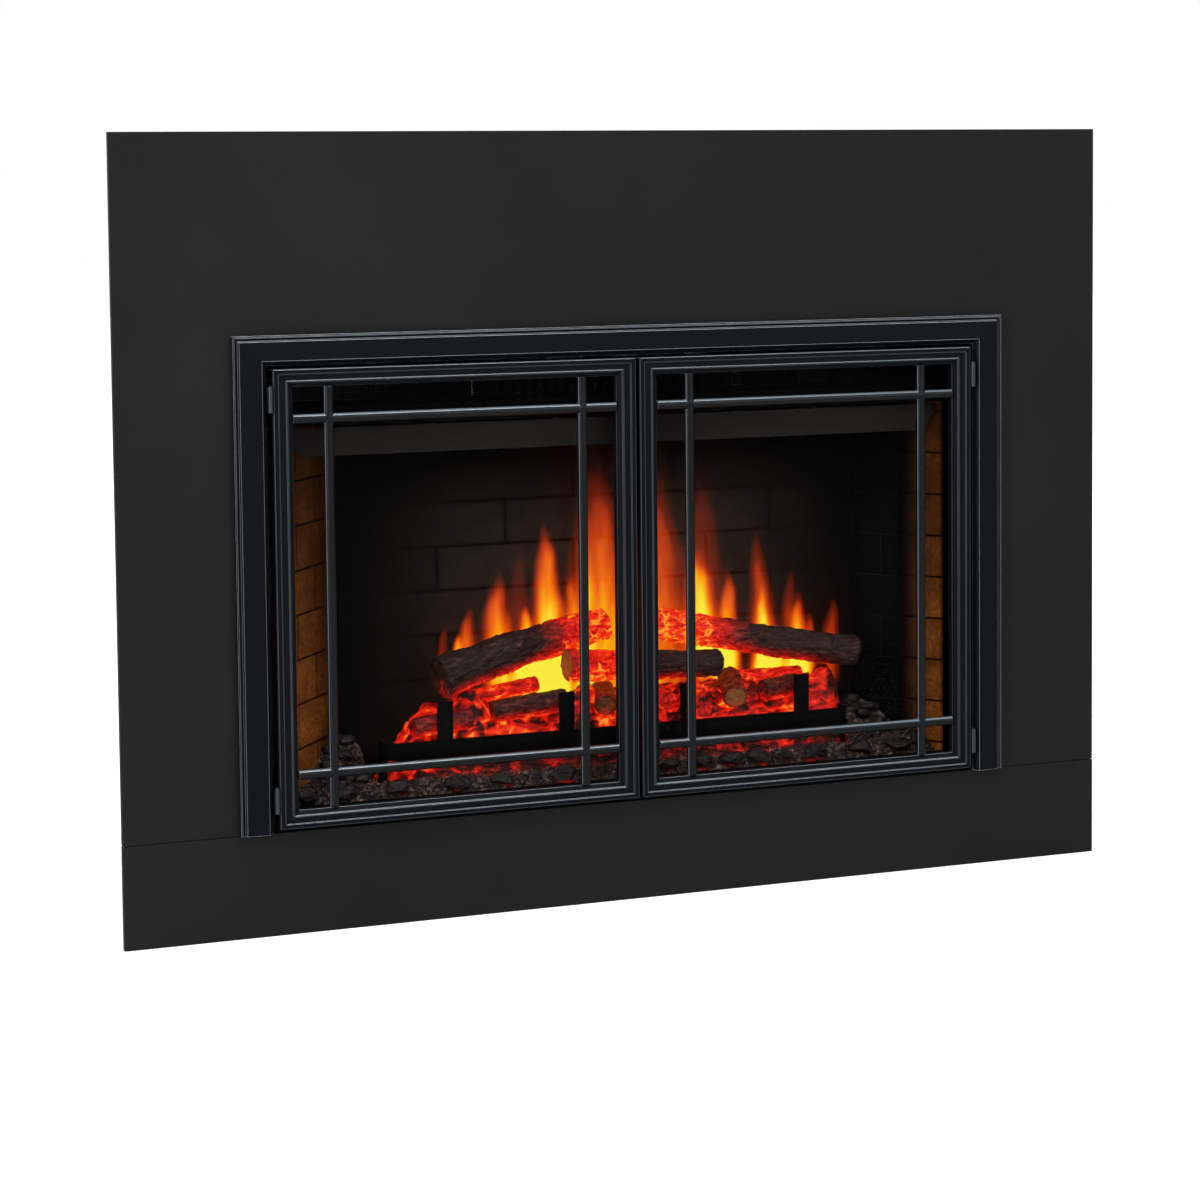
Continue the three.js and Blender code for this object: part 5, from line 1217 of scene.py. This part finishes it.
def clothTree():
    tree, start = newTree("wire cloth", {"Columns": "NodeSocketInt", "Rows": "NodeSocketInt",
                          "Pitch": "NodeSocketFloat", "Width": "NodeSocketFloat", "Height": "NodeSocketFloat",
                          "Wire": "NodeSocketFloat", "Corner": "NodeSocketVector",
                          "Material": "NodeSocketMaterial"})
    layers = []
    for count, length, along in (("Columns", "Height", 0), ("Rows", "Width", 1)):
        wire = addNode(tree, "GeometryNodeMeshCylinder", {"Vertices": 6, "Radius": start.outputs["Wire"],
                       "Depth": start.outputs[length]})
        half = addNode(tree, "ShaderNodeMath", {0: start.outputs[length], 1: 0.5}, operation="MULTIPLY")
        back = addNode(tree, "ShaderNodeMath", {0: start.outputs["Wire"], 1: 0.5 if along else 1.5},
                       operation="MULTIPLY")
        if along:
            lift = addNode(tree, "ShaderNodeCombineXYZ", {"X": half.outputs[0], "Y": back.outputs[0]})
            step = addNode(tree, "ShaderNodeCombineXYZ", {"Z": start.outputs["Pitch"]})
            turn = (0, math.pi / 2, 0)
        else:
            lift = addNode(tree, "ShaderNodeCombineXYZ", {"Z": half.outputs[0], "Y": back.outputs[0]})
            step = addNode(tree, "ShaderNodeCombineXYZ", {"X": start.outputs["Pitch"]})
            turn = (0, 0, 0)
        moved = addNode(tree, "GeometryNodeTransform", {"Geometry": wire.outputs["Mesh"],
                        "Translation": lift.outputs["Vector"], "Rotation": turn,
                        "Scale": (1.0, 0.5, 1.0)})
        line = addNode(tree, "GeometryNodeMeshLine", {"Count": start.outputs[count],
                       "Start Location": start.outputs["Corner"], "Offset": step.outputs["Vector"]})
        laid = addNode(tree, "GeometryNodeInstanceOnPoints", {"Points": line.outputs["Mesh"],
                       "Instance": moved.outputs["Geometry"]})
        layers.append(laid.outputs["Instances"])
    whole = addNode(tree, "GeometryNodeJoinGeometry", {"Geometry": start.outputs["Geometry"]})
    for layer in layers:
        tree.links.new(layer, whole.inputs["Geometry"])
    finishTree(tree, whole.outputs["Geometry"], start.outputs["Material"])
    return tree


def makeOutlet():
    low, high = (Vector(corner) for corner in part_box("outlet_mesh"))
    edge = cloth["border"] * mm
    points, faces = [], []
    for y in (low.y, high.y):
        for inset in (0.0, edge):
            points += [(low.x + inset, y, low.z + inset), (high.x - inset, y, low.z + inset),
                       (high.x - inset, y, high.z - inset), (low.x + inset, y, high.z - inset)]
    for k in range(4):
        n = (k + 1) % 4
        faces += [(k, n, 4 + n, 4 + k), (8 + k, 12 + k, 12 + n, 8 + n), (k, 8 + k, 8 + n, n),
                  (4 + k, 4 + n, 12 + n, 12 + k)]
    piece = facingOut(toMesh("outlet_cloth", points, faces, insidePaint, soft=False))
    pitch = cloth["pitch"] * mm
    width, height = high.x - low.x - edge, high.z - low.z - edge
    grown(piece, clothTree(), {"Columns": int(width / pitch), "Rows": int(height / pitch) + 1, "Pitch": pitch,
                               "Width": width, "Height": height, "Wire": cloth["wire"] * mm / 2,
                               "Corner": (low.x + edge / 2, low.y, low.z + edge / 2),
                               "Material": insidePaint})
    standsFor(piece, "outlet_mesh")


makeOutlet()
print("outlet cloth is in")

# self-tapping screws with hexagon washer heads hold the covers to the chassis

screw = {"across": 7.0, "washer": 10.5, "washerThick": 0.9, "head": 3.2, "fromEdge": 11,
         "rearAcross": 9, "rearUp": 5, "topAcross": 7}


def screwTree():
    tree, start = newTree("hexagon washer screws", {"Head radius": "NodeSocketFloat",
                          "Washer radius": "NodeSocketFloat", "Washer": "NodeSocketFloat",
                          "Head": "NodeSocketFloat", "Material": "NodeSocketMaterial"})
    top = addNode(tree, "ShaderNodeMath", {0: start.outputs["Head radius"], 1: 0.9}, operation="MULTIPLY")
    hexagon = addNode(tree, "GeometryNodeMeshCone", {"Vertices": 6, "Radius Top": top.outputs[0],
                      "Radius Bottom": start.outputs["Head radius"], "Depth": start.outputs["Head"]})
    thin = addNode(tree, "ShaderNodeMath", {0: start.outputs["Washer radius"], 1: 0.86}, operation="MULTIPLY")
    flange = addNode(tree, "GeometryNodeMeshCone", {"Vertices": 20, "Radius Top": thin.outputs[0],
                     "Radius Bottom": start.outputs["Washer radius"], "Depth": start.outputs["Washer"]})
    whole = addNode(tree, "GeometryNodeJoinGeometry", {"Geometry": hexagon.outputs["Mesh"]})
    tree.links.new(flange.outputs["Mesh"], whole.inputs["Geometry"])
    facing = addNode(tree, "GeometryNodeInputNamedAttribute", {"Name": "facing"}, data_type="FLOAT_VECTOR")
    turn = addNode(tree, "FunctionNodeAlignRotationToVector", {"Vector": facing.outputs["Attribute"]},
                   axis="Z")
    laid = addNode(tree, "GeometryNodeInstanceOnPoints", {"Points": start.outputs["Geometry"],
                   "Instance": whole.outputs["Geometry"], "Rotation": turn.outputs["Rotation"]})
    finishTree(tree, laid.outputs["Instances"], start.outputs["Material"])
    return tree


def makeScrews():
    spots = []
    low, high = (Vector(corner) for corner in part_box("rear_cover"))
    edge = screw["fromEdge"] * mm
    gaps = screw["rearAcross"] - 1
    for k in range(gaps + 1):
        x = low.x + edge + (high.x - low.x - 2 * edge) * k / gaps
        spots += [((x, high.y, high.z - edge), (0, 1, 0)), ((x, high.y, low.z + edge), (0, 1, 0))]
    gaps = screw["rearUp"] + 1
    for k in range(1, gaps):
        z = low.z + edge + (high.z - low.z - 2 * edge) * k / gaps
        spots += [((low.x + edge, high.y, z), (0, 1, 0)), ((high.x - edge, high.y, z), (0, 1, 0))]
    low, high = (Vector(corner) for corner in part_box("top_cover"))
    gaps = screw["topAcross"] - 1
    for k in range(gaps + 1):
        x = low.x + edge + (high.x - low.x - 2 * edge) * k / gaps
        spots += [((x, high.y - edge, high.z), (0, 0, 1)), ((x, low.y + edge, high.z), (0, 0, 1))]
    points = [place for place, way in spots]
    facing = [way for place, way in spots]
    piece = toMesh("cover_screws", points, [], zinc)
    attribute = piece.data.attributes.new("facing", "FLOAT_VECTOR", "POINT")
    attribute.data.foreach_set("vector", [value for way in facing for value in way])
    grown(piece, screwTree(), {"Head radius": screw["across"] * mm / 2 / math.cos(math.pi / 6),
                               "Washer radius": screw["washer"] * mm / 2,
                               "Washer": screw["washerThick"] * mm,
                               "Head": screw["head"] * mm, "Material": zinc})
    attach(piece, body("rear_cover"))


makeScrews()
print("screws are in")
